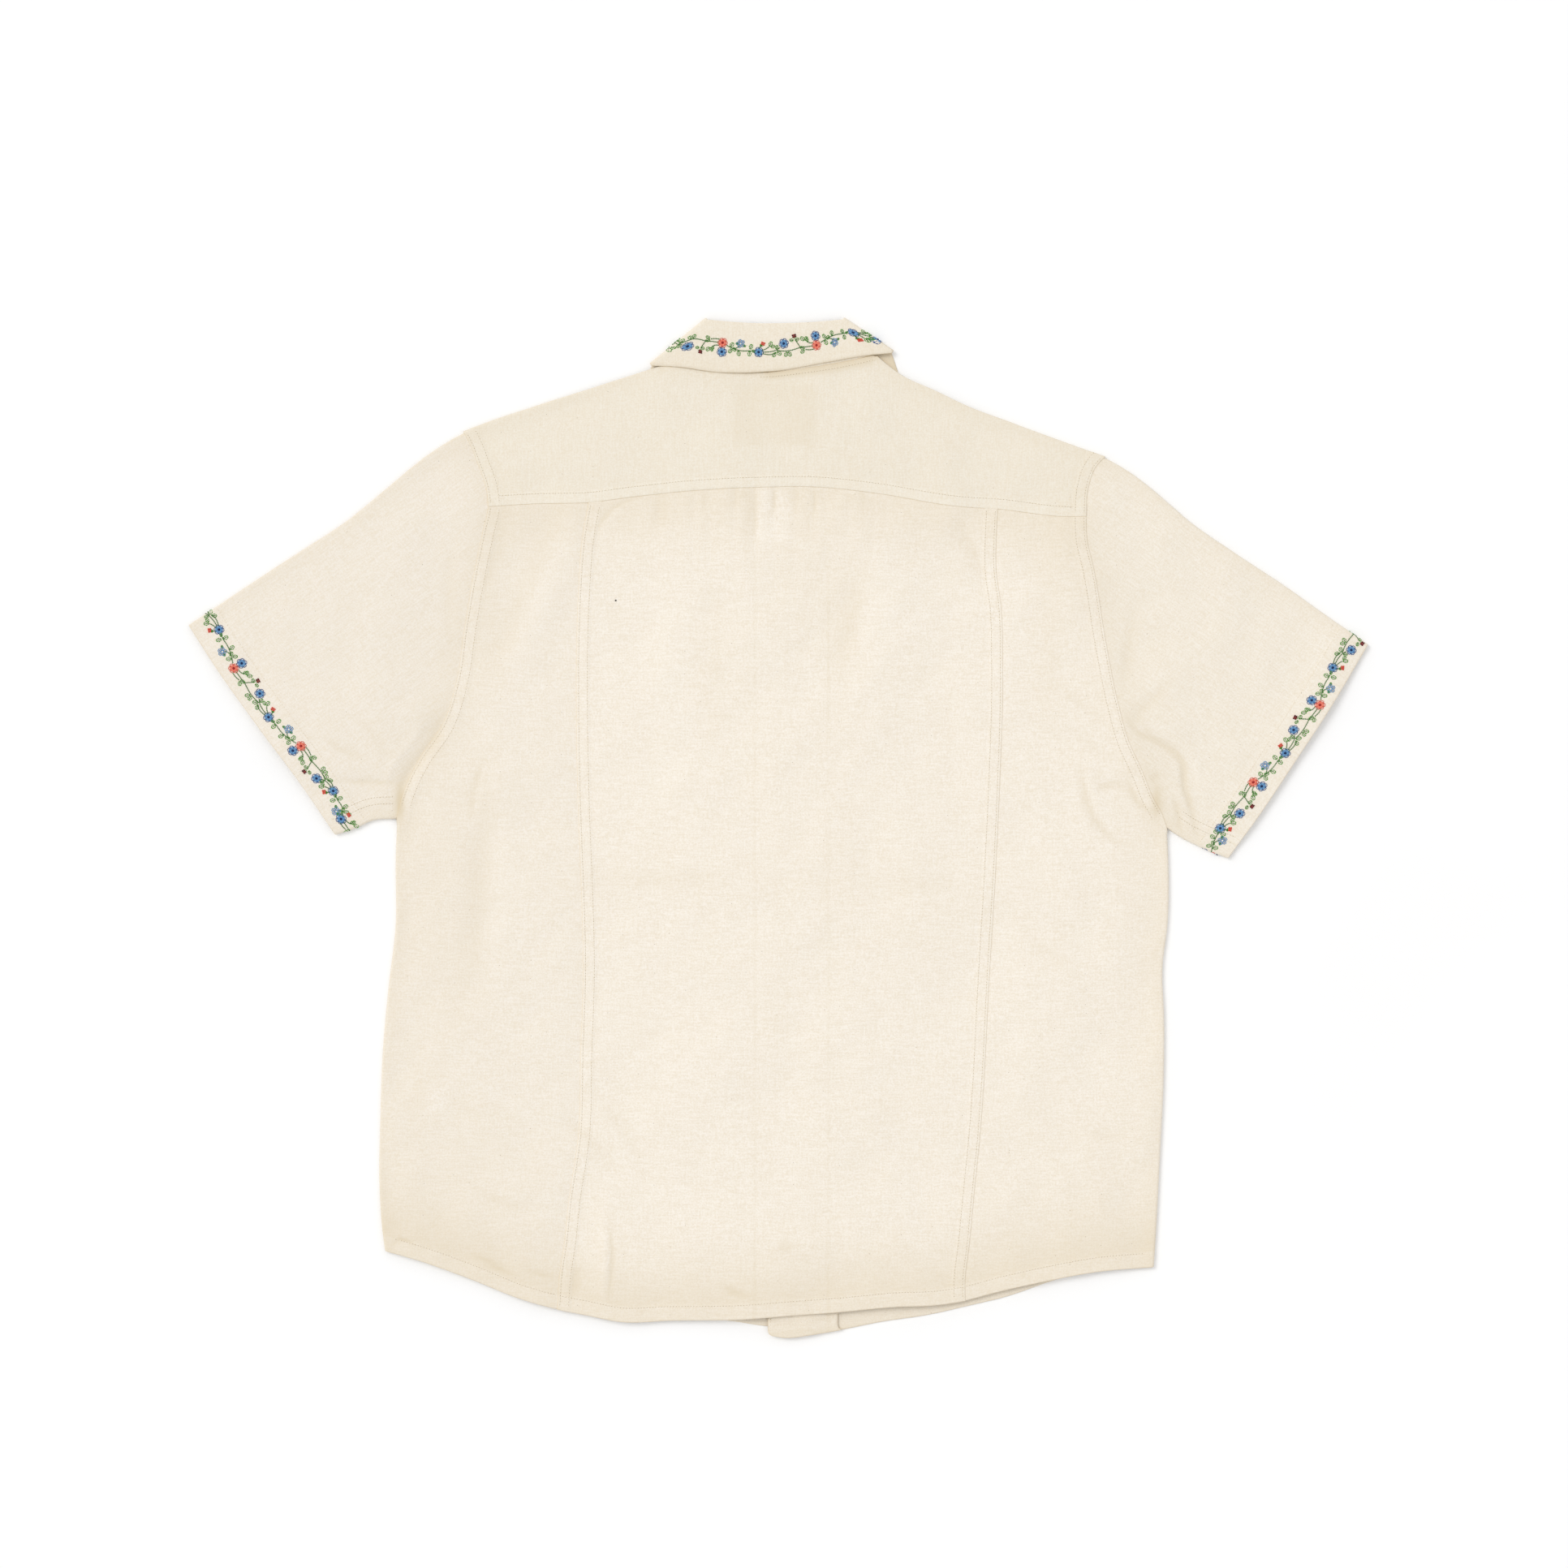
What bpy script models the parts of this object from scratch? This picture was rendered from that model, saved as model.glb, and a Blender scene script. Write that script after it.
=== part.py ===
"""A short-sleeved camp shirt, laid flat on its front with its back up.

Seen from above, +X points right, +Y points to the collar and +Z up from the table. The origin
is on the table under the middle of the shirt. The tables are in millimetres. Left and right are
the wearer's, which from above are the viewer's too.
"""

import math

import bmesh
import bpy
import numpy as np

MM = 0.001

# The cloth and its layers
CLOTH = 1.2
SEAM_GAP = 0.4
LAYER = 1.5
FOLD_RADIUS = 1.5
FLOOR = CLOTH / 2
EDGE_TOP = FLOOR + 2 * FOLD_RADIUS
FOLD_INSET = FOLD_RADIUS + CLOTH / 2

# How far the back puffs up over the layers inside it
BODY_CROWN = 1.6
PLACKET_CROWN = 3.4
PLACKET_CROWN_REACH = 105.0
CROWN_REACH = 40.0
HEM_FALL = 60.0
HEM_CROWN_SHARE = 0.6

# Buttons and the button stand
BUTTON_COUNT = 7
BUTTON_X = 5.0
FIRST_BUTTON_Y = 250.5
BUTTON_STEP = 95.0
BUTTON_RADIUS = 5.7
BUTTON_THICKNESS = 1.8
BUTTON_SIDES = 14
BUTTON_PROFILE = (
    (3.4, 0.45), (4.3, 0.0), (5.2, 0.0), (BUTTON_RADIUS, 0.5),
    (BUTTON_RADIUS, BUTTON_THICKNESS - 0.5), (BUTTON_RADIUS - 0.6, BUTTON_THICKNESS),
)
LAST_BUTTON_Y = FIRST_BUTTON_Y - BUTTON_STEP * (BUTTON_COUNT - 1)
BUTTON_LIFT = BUTTON_THICKNESS + 0.3
LIFT_TOP = 7.0
LIFT_FOOT = 21.0
LIFT_RUN = 20.0
LIFT_MARGIN = 28.0
LEFT_EDGE_X = 18.6
RIGHT_EDGE_X = -7.6
OVERLAP_FLAT = 21.5
OVERLAP_FOOT = 37.0
OVERLAP_RISE = 1.8
FACING_WIDTH = 53.6

# The turned-back neck lies under the fronts in this stretch
NECK_COVER_X = 145.0
NECK_COVER_FADE_X = 30.0
NECK_COVER_Y = 225.0
NECK_COVER_FADE_Y = 30.0

# Yoke and collar
YOKE_FRONT_DROP = 27.0
STAND_RADIUS = LAYER / 2
FALL_RADIUS = 3 * LAYER / 2
COLLAR_MIDDLE = FLOOR + FALL_RADIUS

# Seams and edges seen from above: x, y from the top down
PRINCESS_LEFT = (
    (-144.5, 247.8), (-149.4, 219.5), (-151.9, 188.5), (-153.8, 138.0), (-153.8, 74.0),
    (-152.5, 12.0), (-150.0, -50.0), (-148.8, -112.0), (-150.7, -174.0), (-152.5, -236.0),
    (-160.0, -287.0), (-163.1, -317.0), (-166.8, -342.0), (-168.6, -368.0),
)
PRINCESS_RIGHT = (
    (167.4, 243.0), (166.2, 218.0), (166.2, 198.0), (170.0, 168.0), (171.1, 123.0),
    (168.0, 12.0), (161.2, -112.0), (153.8, -236.0), (148.2, -292.0), (145.7, -318.7),
    (142.4, -347.8), (142.6, -361.5),
)
ARMHOLE_LEFT = (
    (-240.6, 302.6), (-235.6, 293.0), (-228.8, 275.9), (-223.2, 259.8), (-221.3, 245.0),
    (-225.1, 227.0), (-231.3, 197.8), (-239.9, 148.2), (-244.9, 114.1), (-255.4, 80.0),
    (-274.7, 50.8), (-282.7, 35.3), (-288.9, 18.0), (-291.4, 5.6),
)
ARMHOLE_RIGHT = (
    (249.9, 283.3), (242.4, 275.0), (236.8, 259.8), (235.0, 237.5), (235.4, 221.3),
    (240.6, 197.8), (251.1, 135.8), (259.8, 92.4), (267.2, 66.0), (278.4, 41.5),
    (285.8, 23.0), (293.3, 9.3), (297.0, -1.2),
)
SIDE_LEFT = (
    (-291.4, 5.6), (-292.6, -25.4), (-292.6, -75.0), (-298.2, -124.6), (-302.6, -174.2),
    (-304.4, -223.8), (-305.0, -273.4), (-303.2, -304.4), (-300.7, -323.6),
)
SIDE_RIGHT = (
    (297.0, -1.2), (298.2, -25.4), (297.6, -75.0), (293.9, -106.0), (295.1, -149.4),
    (294.5, -199.0), (292.0, -248.6), (289.5, -298.2), (287.1, -336.0),
)
OVERARM_LEFT = (
    (-240.6, 302.6), (-269.1, 284.6), (-299.5, 259.8), (-329.8, 235.0), (-367.7, 210.2),
    (-405.5, 185.4), (-450.7, 155.0),
)
OVERARM_RIGHT = (
    (249.9, 283.3), (271.6, 270.0), (299.5, 247.4), (312.5, 236.0), (349.1, 210.2),
    (386.9, 185.4), (421.6, 160.6), (450.7, 140.1),
)
CUFF_LEFT = ((-450.7, 155.0), (-430.3, 123.4), (-394.9, 73.8), (-367.0, 36.6), (-337.9, -6.2))
CUFF_RIGHT = ((450.7, 140.1), (425.9, 98.6), (393.7, 49.0), (368.9, 11.8), (342.9, -24.2))
UNDERARM_LEFT = ((-291.4, 5.6), (-309.4, 4.3), (-324.3, -1.9), (-337.9, -6.2))
UNDERARM_RIGHT = ((297.0, -1.2), (308.1, -8.7), (323.0, -16.1), (342.9, -24.2))

# Seams and edges that run across: x, y from left to right
YOKE_SEAM = (
    (-221.3, 245.0), (-185.4, 247.1), (-144.5, 248.0), (-110.4, 252.3), (-68.2, 256.7),
    (-16.1, 259.3), (25.4, 259.8), (75.0, 254.8), (137.0, 244.9), (167.4, 243.0),
    (222.6, 237.2), (235.0, 237.5),
)
SHOULDER_LEFT = (
    (-240.6, 302.6), (-223.2, 309.4), (-186.0, 321.8), (-148.8, 334.2), (-122.1, 342.9),
    (-104.8, 348.4), (-86.2, 354.6),
)
NECK_BACK = (
    (-86.2, 354.6), (-55.2, 349.8), (-5.6, 347.6), (17.4, 350.2), (39.7, 353.4), (62.6, 358.0),
    (75.0, 361.0),
)
SHOULDER_RIGHT = (
    (75.0, 361.0), (93.6, 346.6), (120.3, 334.2), (146.3, 321.8), (177.9, 309.4),
    (211.4, 297.0), (249.9, 283.3),
)
HEM = (
    (-300.7, -323.6), (-275.9, -330.5), (-235.0, -345.3), (-197.8, -360.2), (-168.6, -368.3),
    (-143.8, -373.2), (-122.1, -377.4), (-80.0, -376.6), (-29.8, -375.7), (3.1, -373.2),
    (47.7, -370.1), (87.4, -366.2), (124.6, -364.4), (142.6, -361.5), (174.2, -353.4),
    (205.2, -346.6), (242.4, -339.6), (287.1, -336.0),
)
FRONT_HEM_LEFT = (
    (-300.7, -322.0), (-235.0, -343.5), (-168.6, -366.5), (-122.1, -375.6), (-80.0, -375.6),
    (-36.6, -377.0), (-8.7, -381.0), (LEFT_EDGE_X, -383.0),
)
FRONT_HEM_RIGHT = (
    (RIGHT_EDGE_X, -388.6), (1.9, -390.0), (20.5, -388.1), (44.0, -384.4), (75.0, -378.2),
    (112.8, -372.6), (143.2, -365.8), (174.2, -358.4), (205.2, -347.8), (242.4, -338.0),
    (287.1, -334.0),
)

# Inner edge of a front: share of the way down, distance out from the middle, y. The first rows
# follow the neck seam to the roll of the lapel, the next ones the roll to the first button.
FRONT_INNER = (
    (0.04, 58.0, 326.0), (0.08, 34.0, 318.2), (0.14, 19.8, 293.1), (0.21, 4.0, 265.3),
)
FRONT_EDGE_START = (0.25, 246.0)

# Collar lines from above: x, y of the neck seam, the top fold and the free edge, one row for
# each station from the left collar point, round the back of the neck, to the right one
COLLAR_FRONT_LEFT = (
    ((-39.5, 325.0), (-35.0, 329.5), (-112.0, 292.0)),
    ((-58.0, 330.0), (-43.0, 346.0), (-108.0, 314.0)),
    ((-79.0, 335.0), (-50.0, 367.0), (-104.0, 336.0)),
)
COLLAR_BACK = (
    ((-85.4, 355.0), (-54.6, 386.6), (-96.4, 352.6)),
    ((-74.0, 353.0), (-44.0, 385.6), (-76.0, 351.6)),
    ((-54.0, 350.0), (-28.0, 384.4), (-50.0, 348.0)),
    ((-2.5, 348.2), (-2.5, 383.6), (-2.5, 348.6)),
    ((40.0, 353.8), (26.0, 384.6), (38.0, 355.4)),
    ((60.0, 357.8), (40.0, 385.8), (66.0, 360.2)),
    ((74.6, 361.6), (49.8, 386.8), (86.4, 362.2)),
)
COLLAR_FRONT_RIGHT = (
    ((70.5, 341.0), (46.0, 367.0), (93.0, 342.0)),
    ((54.0, 331.0), (41.0, 346.0), (100.0, 316.0)),
    ((37.5, 325.0), (33.0, 329.5), (106.0, 292.0)),
)
COLLAR_TURN_LEFT = (-0.62, 0.785)
COLLAR_TURN_RIGHT = (0.56, 0.83)

# Lapels: distance out from the middle and y of the roll's ends and the outer edge's ends
LAPEL_ROLL = ((33.4, 318.5), (2.5, 264.0))
LAPEL_OUTER = ((76.0, 296.0), (98.0, 264.0))

# Gathers under the yoke: x at the seam, length, depth
GATHERS = (
    (-92.0, 45.0, 0.9), (-77.0, 60.0, 0.8), (-64.5, 55.0, 1.0), (-52.0, 70.0, 0.9),
    (-33.5, 60.0, 1.1), (-18.0, 80.0, 0.9), (-3.0, 55.0, 1.0), (12.0, 75.0, 0.9),
    (25.5, 60.0, 1.0), (37.0, 70.0, 0.8), (54.0, 60.0, 0.9), (72.0, 50.0, 0.7),
)
GATHER_WIDTH = 3.2

# Columns of the back centre panel beside its gathers, and the parts between two gathers
LEFT_OF_GATHERS = (-128.0, -112.0, -100.0, -96.0)
RIGHT_OF_GATHERS = (76.0, 82.0, 98.0, 116.0, 142.0)
GATHER_PARTS = (0.0, 0.25, 0.5, 0.75)

# Largest folds: start x, y, end x, y, half width, height
FOLDS = (
    (-167.0, 244.0, -198.0, 205.0, 12.0, -0.9),
    (-198.0, 205.0, -222.0, 110.0, 14.0, -1.0),
    (-150.0, 225.0, -178.0, 150.0, 14.0, 0.7),
    (-46.0, 205.0, -50.0, 40.0, 16.0, -0.8),
    (50.0, 205.0, 46.0, 30.0, 16.0, -0.8),
    (92.0, 205.0, 96.0, 60.0, 18.0, 0.8),
    (0.0, 190.0, 4.0, 20.0, 18.0, 0.5),
    (137.0, 235.0, 159.0, 180.0, 10.0, -0.6),
    (-227.0, -15.0, -230.0, -165.0, 14.0, -1.0),
    (-131.0, -285.0, -133.0, -366.0, 9.0, 1.1),
    (-229.0, -276.0, -190.0, -294.0, 10.0, -0.6),
    (-161.0, -222.0, -120.0, -264.0, 12.0, -0.6),
    (-262.0, 76.0, -285.0, 38.0, 8.0, -1.4),
    (-285.0, 38.0, -291.0, 14.0, 7.0, -1.0),
    (-282.0, 92.0, -268.0, 60.0, 12.0, 0.9),
    (-336.0, 36.0, -288.0, 33.0, 7.0, -0.8),
    (276.0, 76.0, 317.0, 38.0, 9.0, -1.4),
    (317.0, 38.0, 322.0, -4.0, 8.0, -1.1),
    (273.0, 175.0, 264.0, 105.0, 14.0, -1.0),
    (230.0, 49.0, 240.0, 5.0, 11.0, 0.7),
)

# Rows of the panels, as shares of the stretch above and below the armpit, and columns as
# shares of the width between the edges
ARMPIT_SHARE = 0.395
UPPER_ROWS = (0.0, 0.03, 0.07, 0.13, 0.21, 0.31, 0.43, 0.56, 0.68, 0.79, 0.88, 0.95, 1.0)
LOWER_ROWS = (0.06, 0.16, 0.28, 0.40, 0.52, 0.64, 0.76, 0.86, 0.94, 1.0)
GATHERED_ROWS = 7
YOKE_ROWS = (1.0, 0.8, 0.6, 0.4, 0.2)
SLEEVE_ROWS = (0.0, 0.08, 0.2, 0.34, 0.5, 0.66, 0.82, 0.93, 1.0)
LAPEL_ROWS = (0.0, 0.25, 0.5, 0.75, 1.0)
SIDE_COLUMNS = (0.16, 0.3, 0.46, 0.62, 0.8, 1.0)
FRONT_COLUMNS = (0.2, 0.4, 0.6, 0.8)
LAPEL_COLUMNS = (0.0, 0.25, 0.5, 0.75, 1.0)
SHOULDER_COLUMNS = {"left": 7, "right": 8}
NECK_COLUMNS = 9
STAND_COLUMNS = (0.0, 0.5, 1.0)
FALL_COLUMNS = (0.0, 0.35, 0.7, 1.0)
ROW_CLEARANCE = 0.004
ROLL_ANGLES = (24.0, 45.0, 67.0, 90.0)
TURN_ANGLES = (45.0, 90.0, 135.0)
ARMHOLE_STEP = 5.0
ARMPIT_ROOM = 6

CLOTH_COLOUR = (0.905, 0.831, 0.716, 1.0)
BUTTON_COLOUR = (0.80, 0.72, 0.60, 1.0)


class Line:
    """A smooth line through points in a plane, read by its share of the whole length."""

    def __init__(self, points):
        self.points = np.array(points, float)
        steps = np.linalg.norm(np.diff(self.points, axis=0), axis=1)
        self.length = steps.sum()
        self.knots = np.concatenate([[0.0], np.cumsum(steps)]) / self.length
        self.slopes = np.gradient(self.points, self.knots, axis=0)

    def at(self, shares):
        shares = np.asarray(shares, float)
        last = len(self.knots) - 2
        k = np.clip(np.searchsorted(self.knots, shares, side="right") - 1, 0, last)
        span = (self.knots[k + 1] - self.knots[k])[..., None]
        t = (shares - self.knots[k])[..., None] / span
        start = (1 + 2 * t) * (1 - t) ** 2 * self.points[k]
        end = t * t * (3 - 2 * t) * self.points[k + 1]
        bend = t * (1 - t) ** 2 * self.slopes[k] - t * t * (1 - t) * self.slopes[k + 1]
        return start + end + bend * span

    def share_near(self, point):
        shares = np.linspace(0.0, 1.0, 2001)
        away = np.linalg.norm(self.at(shares) - np.array(point), axis=1)
        return float(shares[np.argmin(away)])


def height_of(points):
    """Turns points that run from left to right into a function that gives y for an x."""
    places = Line(points).at(np.linspace(0.0, 1.0, 241))
    return lambda x: np.interp(x, places[:, 0], places[:, 1])


def ease(value):
    """Goes smoothly from 0 to 1 as the value does."""
    value = np.clip(value, 0.0, 1.0)
    return value * value * (3.0 - 2.0 * value)


ARMHOLE = {"left": Line(ARMHOLE_LEFT), "right": Line(ARMHOLE_RIGHT)}
SIDE = {"left": Line(SIDE_LEFT), "right": Line(SIDE_RIGHT)}
PRINCESS = {"left": Line(PRINCESS_LEFT), "right": Line(PRINCESS_RIGHT)}
OVERARM = {"left": Line(OVERARM_LEFT), "right": Line(OVERARM_RIGHT)}
UNDERARM = {"left": Line(UNDERARM_LEFT), "right": Line(UNDERARM_RIGHT)}
CUFF = {"left": Line(CUFF_LEFT), "right": Line(CUFF_RIGHT)}
OUTWARD = {"left": -1.0, "right": 1.0}
YOKE_SHARE = {
    "left": ARMHOLE["left"].share_near(YOKE_SEAM[0]),
    "right": ARMHOLE["right"].share_near(YOKE_SEAM[-1]),
}
yoke_seam_y = height_of(YOKE_SEAM)
hem_y = height_of(HEM)
shoulder_left_y = height_of(SHOULDER_LEFT)
shoulder_right_y = height_of(SHOULDER_RIGHT)
neck_y = height_of(NECK_BACK)
front_hem_y = {"left": height_of(FRONT_HEM_LEFT), "right": height_of(FRONT_HEM_RIGHT)}
NECK_LEFT_X = NECK_BACK[0][0]
NECK_RIGHT_X = NECK_BACK[-1][0]


def yoke_top_y(x):
    sides = np.where(x < NECK_LEFT_X, shoulder_left_y(x), shoulder_right_y(x))
    return np.where((x >= NECK_LEFT_X) & (x <= NECK_RIGHT_X), neck_y(x), sides)


def folded_edges():
    """Short straight pieces along every edge where the shirt lies thin."""
    edges = (
        SIDE_LEFT, UNDERARM_LEFT, OVERARM_LEFT, SHOULDER_LEFT, NECK_BACK,
        SHOULDER_RIGHT, OVERARM_RIGHT, UNDERARM_RIGHT, SIDE_RIGHT,
    )
    starts = np.array([point for edge in edges for point in edge[:-1]], float)
    ends = np.array([point for edge in edges for point in edge[1:]], float)
    return starts, ends


EDGE_STARTS, EDGE_ENDS = folded_edges()


def edge_distance(x, y):
    """How far a place is from the nearest folded edge."""
    place = np.stack([np.asarray(x, float), np.asarray(y, float)], axis=-1)[..., None, :]
    run = EDGE_ENDS - EDGE_STARTS
    share = ((place - EDGE_STARTS) * run).sum(-1) / (run * run).sum(-1)
    nearest = EDGE_STARTS + np.clip(share, 0.0, 1.0)[..., None] * run
    return np.linalg.norm(place - nearest, axis=-1).min(-1)


def fold_height(x, y):
    """Ridges and troughs of the largest folds."""
    total = np.zeros(np.broadcast(x, y).shape)
    for x0, y0, x1, y1, width, height in FOLDS:
        run_x = x1 - x0
        run_y = y1 - y0
        length = math.hypot(run_x, run_y)
        share = ((x - x0) * run_x + (y - y0) * run_y) / length**2
        away = ((x - x0) * run_y - (y - y0) * run_x) / length
        fade = ease((share + 0.25) / 0.4) * ease((1.25 - share) / 0.4)
        total = total + height * fade * np.exp(-((away / width) ** 2))
    return total


def gather_height(x, y):
    """Narrow creases that run down from the yoke seam and fade out."""
    total = np.zeros(np.broadcast(x, y).shape)
    below = yoke_seam_y(x) - y
    for gather_x, length, depth in GATHERS:
        crease = np.exp(-(((x - gather_x) / GATHER_WIDTH) ** 2))
        fade = np.exp(-((np.maximum(below, 0.0) / length) ** 2)) * (below > -1.0)
        total = total - depth * crease * fade
    return total


def top_height(x, y):
    """Height of the middle of the upper cloth over the table."""
    rise = 1.0 - np.exp(-((edge_distance(x, y) / CROWN_REACH) ** 2))
    near_hem = ease((y - hem_y(x)) / HEM_FALL)
    keep = HEM_CROWN_SHARE + (1.0 - HEM_CROWN_SHARE) * near_hem
    placket = np.exp(-(((x - BUTTON_X) / PLACKET_CROWN_REACH) ** 2))
    crown = (BODY_CROWN + PLACKET_CROWN * placket) * rise * keep
    return EDGE_TOP + crown + (fold_height(x, y) + gather_height(x, y)) * rise


def button_lift(x, y):
    """The fronts rise over the row of buttons between them and the table."""
    across = np.clip((LIFT_FOOT - np.abs(x - BUTTON_X)) / (LIFT_FOOT - LIFT_TOP), 0.0, 1.0)
    above = (FIRST_BUTTON_Y + LIFT_MARGIN + LIFT_RUN - y) / LIFT_RUN
    below = (y - LAST_BUTTON_Y + LIFT_MARGIN + LIFT_RUN) / LIFT_RUN
    return BUTTON_LIFT * across * np.clip(above, 0.0, 1.0) * np.clip(below, 0.0, 1.0)


def neck_cover(x, y):
    """One layer where the collar and lapels lie between the fronts and the table."""
    across = np.clip((NECK_COVER_X + NECK_COVER_FADE_X - np.abs(x)) / NECK_COVER_FADE_X, 0, 1)
    along = np.clip((y - NECK_COVER_Y + NECK_COVER_FADE_Y) / NECK_COVER_FADE_Y, 0, 1)
    return LAYER * across * along


def under_height(x, y):
    """Height of the middle of the lower cloth, which rests on the table."""
    return FLOOR + np.maximum(button_lift(x, y), neck_cover(x, y))


def right_front_height(x, y):
    """The right front lies on the left one where they overlap."""
    over = np.clip((OVERLAP_FOOT - x) / (OVERLAP_FOOT - OVERLAP_FLAT), 0.0, 1.0)
    return under_height(x, y) + OVERLAP_RISE * over


def spread(left, right, across):
    """Points between two edge points of one row."""
    return left[None, :] + np.asarray(across)[:, None] * (right - left)[None, :]


def panel_row(left, right, across, down, top_y, bottom_y, corners):
    """One row of a panel between its edge points, bent to its top and bottom seams.

    The corners are the panel's four corners: top left, top right, bottom left, bottom right.
    """
    row = spread(left, right, across)
    x = row[:, 0]
    top_left, top_right, bottom_left, bottom_right = corners
    top_x = top_left[0] + across * (top_right[0] - top_left[0])
    bottom_x = bottom_left[0] + across * (bottom_right[0] - bottom_left[0])
    top_chord = top_left[1] + across * (top_right[1] - top_left[1])
    bottom_chord = bottom_left[1] + across * (bottom_right[1] - bottom_left[1])
    bend = (1.0 - down) * (top_y(top_x) - top_chord) + down * (bottom_y(bottom_x) - bottom_chord)
    return np.stack([x, row[:, 1] + bend], axis=1)


def lifted(plan, heights):
    return np.column_stack([plan, heights])


def add_strip(faces, first, second, first_shares, second_shares):
    """Joins two rows of points, which may have different counts, with triangles and quads."""
    i = 0
    j = 0
    while i < len(first) - 1 or j < len(second) - 1:
        next_i = first_shares[i + 1] if i < len(first) - 1 else math.inf
        next_j = second_shares[j + 1] if j < len(second) - 1 else math.inf
        if abs(next_i - next_j) < 1e-6:
            faces.append((first[i], second[j], second[j + 1], first[i + 1]))
            i += 1
            j += 1
        elif next_i < next_j:
            faces.append((first[i], second[j], first[i + 1]))
            i += 1
        else:
            faces.append((first[i], second[j], second[j + 1]))
            j += 1


def sheet_of(rows, shares=None):
    """Points and faces of a surface through rows of points."""
    points = []
    faces = []
    before = None
    for k, row in enumerate(rows):
        indices = list(range(len(points), len(points) + len(row)))
        row_shares = np.arange(len(row)) if shares is None else shares[k]
        points.extend(tuple(point) for point in row)
        if before is not None:
            add_strip(faces, before[0], indices, before[1], row_shares)
        before = (indices, row_shares)
    return points, faces


def material_named(name, colour, roughness):
    material = bpy.data.materials.new(name)
    material.use_nodes = True
    shader = material.node_tree.nodes["Principled BSDF"]
    shader.inputs["Base Color"].default_value = colour
    shader.inputs["Roughness"].default_value = roughness
    shader.inputs["Metallic"].default_value = 0.0
    return material


def add_object(name, points, faces, colour, roughness):
    mesh = bpy.data.meshes.new(name)
    work = bmesh.new()
    corners = [work.verts.new([value * MM for value in point]) for point in points]
    for face in faces:
        work.faces.new([corners[index] for index in face])
    bmesh.ops.remove_doubles(work, verts=work.verts, dist=1e-6)
    bmesh.ops.recalc_face_normals(work, faces=work.faces)
    work.to_mesh(mesh)
    work.free()
    mesh.materials.append(material_named(name + "_finish", colour, roughness))
    item = bpy.data.objects.new(name, mesh)
    bpy.context.scene.collection.objects.link(item)
    return item


def add_cloth(name, points, faces):
    """A wall of cloth whose middle is the surface."""
    item = add_object(name, points, faces, CLOTH_COLOUR, 0.9)
    wall = item.modifiers.new("wall", "SOLIDIFY")
    wall.thickness = CLOTH * MM
    wall.offset = 0.0
    wall.use_even_offset = True
    wall.use_quality_normals = True
    item.data.shade_smooth()
    return item


def rolled_edge(turned):
    """Insets and drops of the columns at a side edge: flat above the armpit, rolled below."""
    angles = np.radians(ROLL_ANGLES)
    round_inset = CLOTH / 2 + FOLD_RADIUS * (1.0 - np.cos(angles))
    flat_inset = ARMHOLE_STEP * np.arange(len(angles))
    drop = FOLD_RADIUS * (1.0 - np.sin(angles)) * turned
    return flat_inset + (round_inset - flat_inset) * turned, drop


def outer_place(side, upper, lower, seam_share):
    """A point of a body panel's outer edge, on the armhole or on the side seam."""
    half_gap = np.array([-OUTWARD[side] * SEAM_GAP / 2, 0.0])
    if lower is None:
        share = seam_share + (1.0 - seam_share) * upper
        return ARMHOLE[side].at(share) + half_gap
    return SIDE[side].at(lower)


def body_rows():
    """For each row: its share of the panel, of the armhole part and of the side part."""
    rows = [(ARMPIT_SHARE * share, share, None) for share in UPPER_ROWS]
    rows += [(ARMPIT_SHARE + (1 - ARMPIT_SHARE) * share, None, share) for share in LOWER_ROWS]
    return rows


def seam_inset(down):
    """Keeps the first row a gap below the yoke's edge."""
    return SEAM_GAP if down == 0.0 else 0.0


def build_back_centre():
    half_gap = np.array([SEAM_GAP / 2, 0.0])
    left_edge = PRINCESS["left"]
    right_edge = PRINCESS["right"]
    corners = [left_edge.at(0.0), right_edge.at(0.0), left_edge.at(1.0), right_edge.at(1.0)]
    creases = [gather[0] for gather in GATHERS]
    gathered = []
    for here, following in zip(creases, creases[1:]):
        gathered.extend(here + (following - here) * share for share in GATHER_PARTS)
    first_x = corners[0][0]
    last_x = corners[1][0]
    places = [first_x, *LEFT_OF_GATHERS, *gathered, creases[-1], *RIGHT_OF_GATHERS, last_x]
    fine = (np.array(places) - first_x) / (last_x - first_x)
    first_gather = 1 + len(LEFT_OF_GATHERS)
    last_gather = first_gather + len(gathered)
    at_gathers = fine[first_gather:last_gather + 1:len(GATHER_PARTS)]
    coarse = np.concatenate([fine[:first_gather - 2], at_gathers, fine[last_gather + 3:]])
    rows = []
    shares = []
    for index, (down, _, _) in enumerate(body_rows()):
        across = fine if index < GATHERED_ROWS else coarse
        left = left_edge.at(down) + half_gap
        right = right_edge.at(down) - half_gap
        plan = panel_row(left, right, across, down, yoke_seam_y, hem_y, corners)
        plan[:, 1] -= seam_inset(down)
        rows.append(lifted(plan, top_height(plan[:, 0], plan[:, 1])))
        shares.append(across)
    add_cloth("back_centre", *sheet_of(rows, shares))


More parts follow.
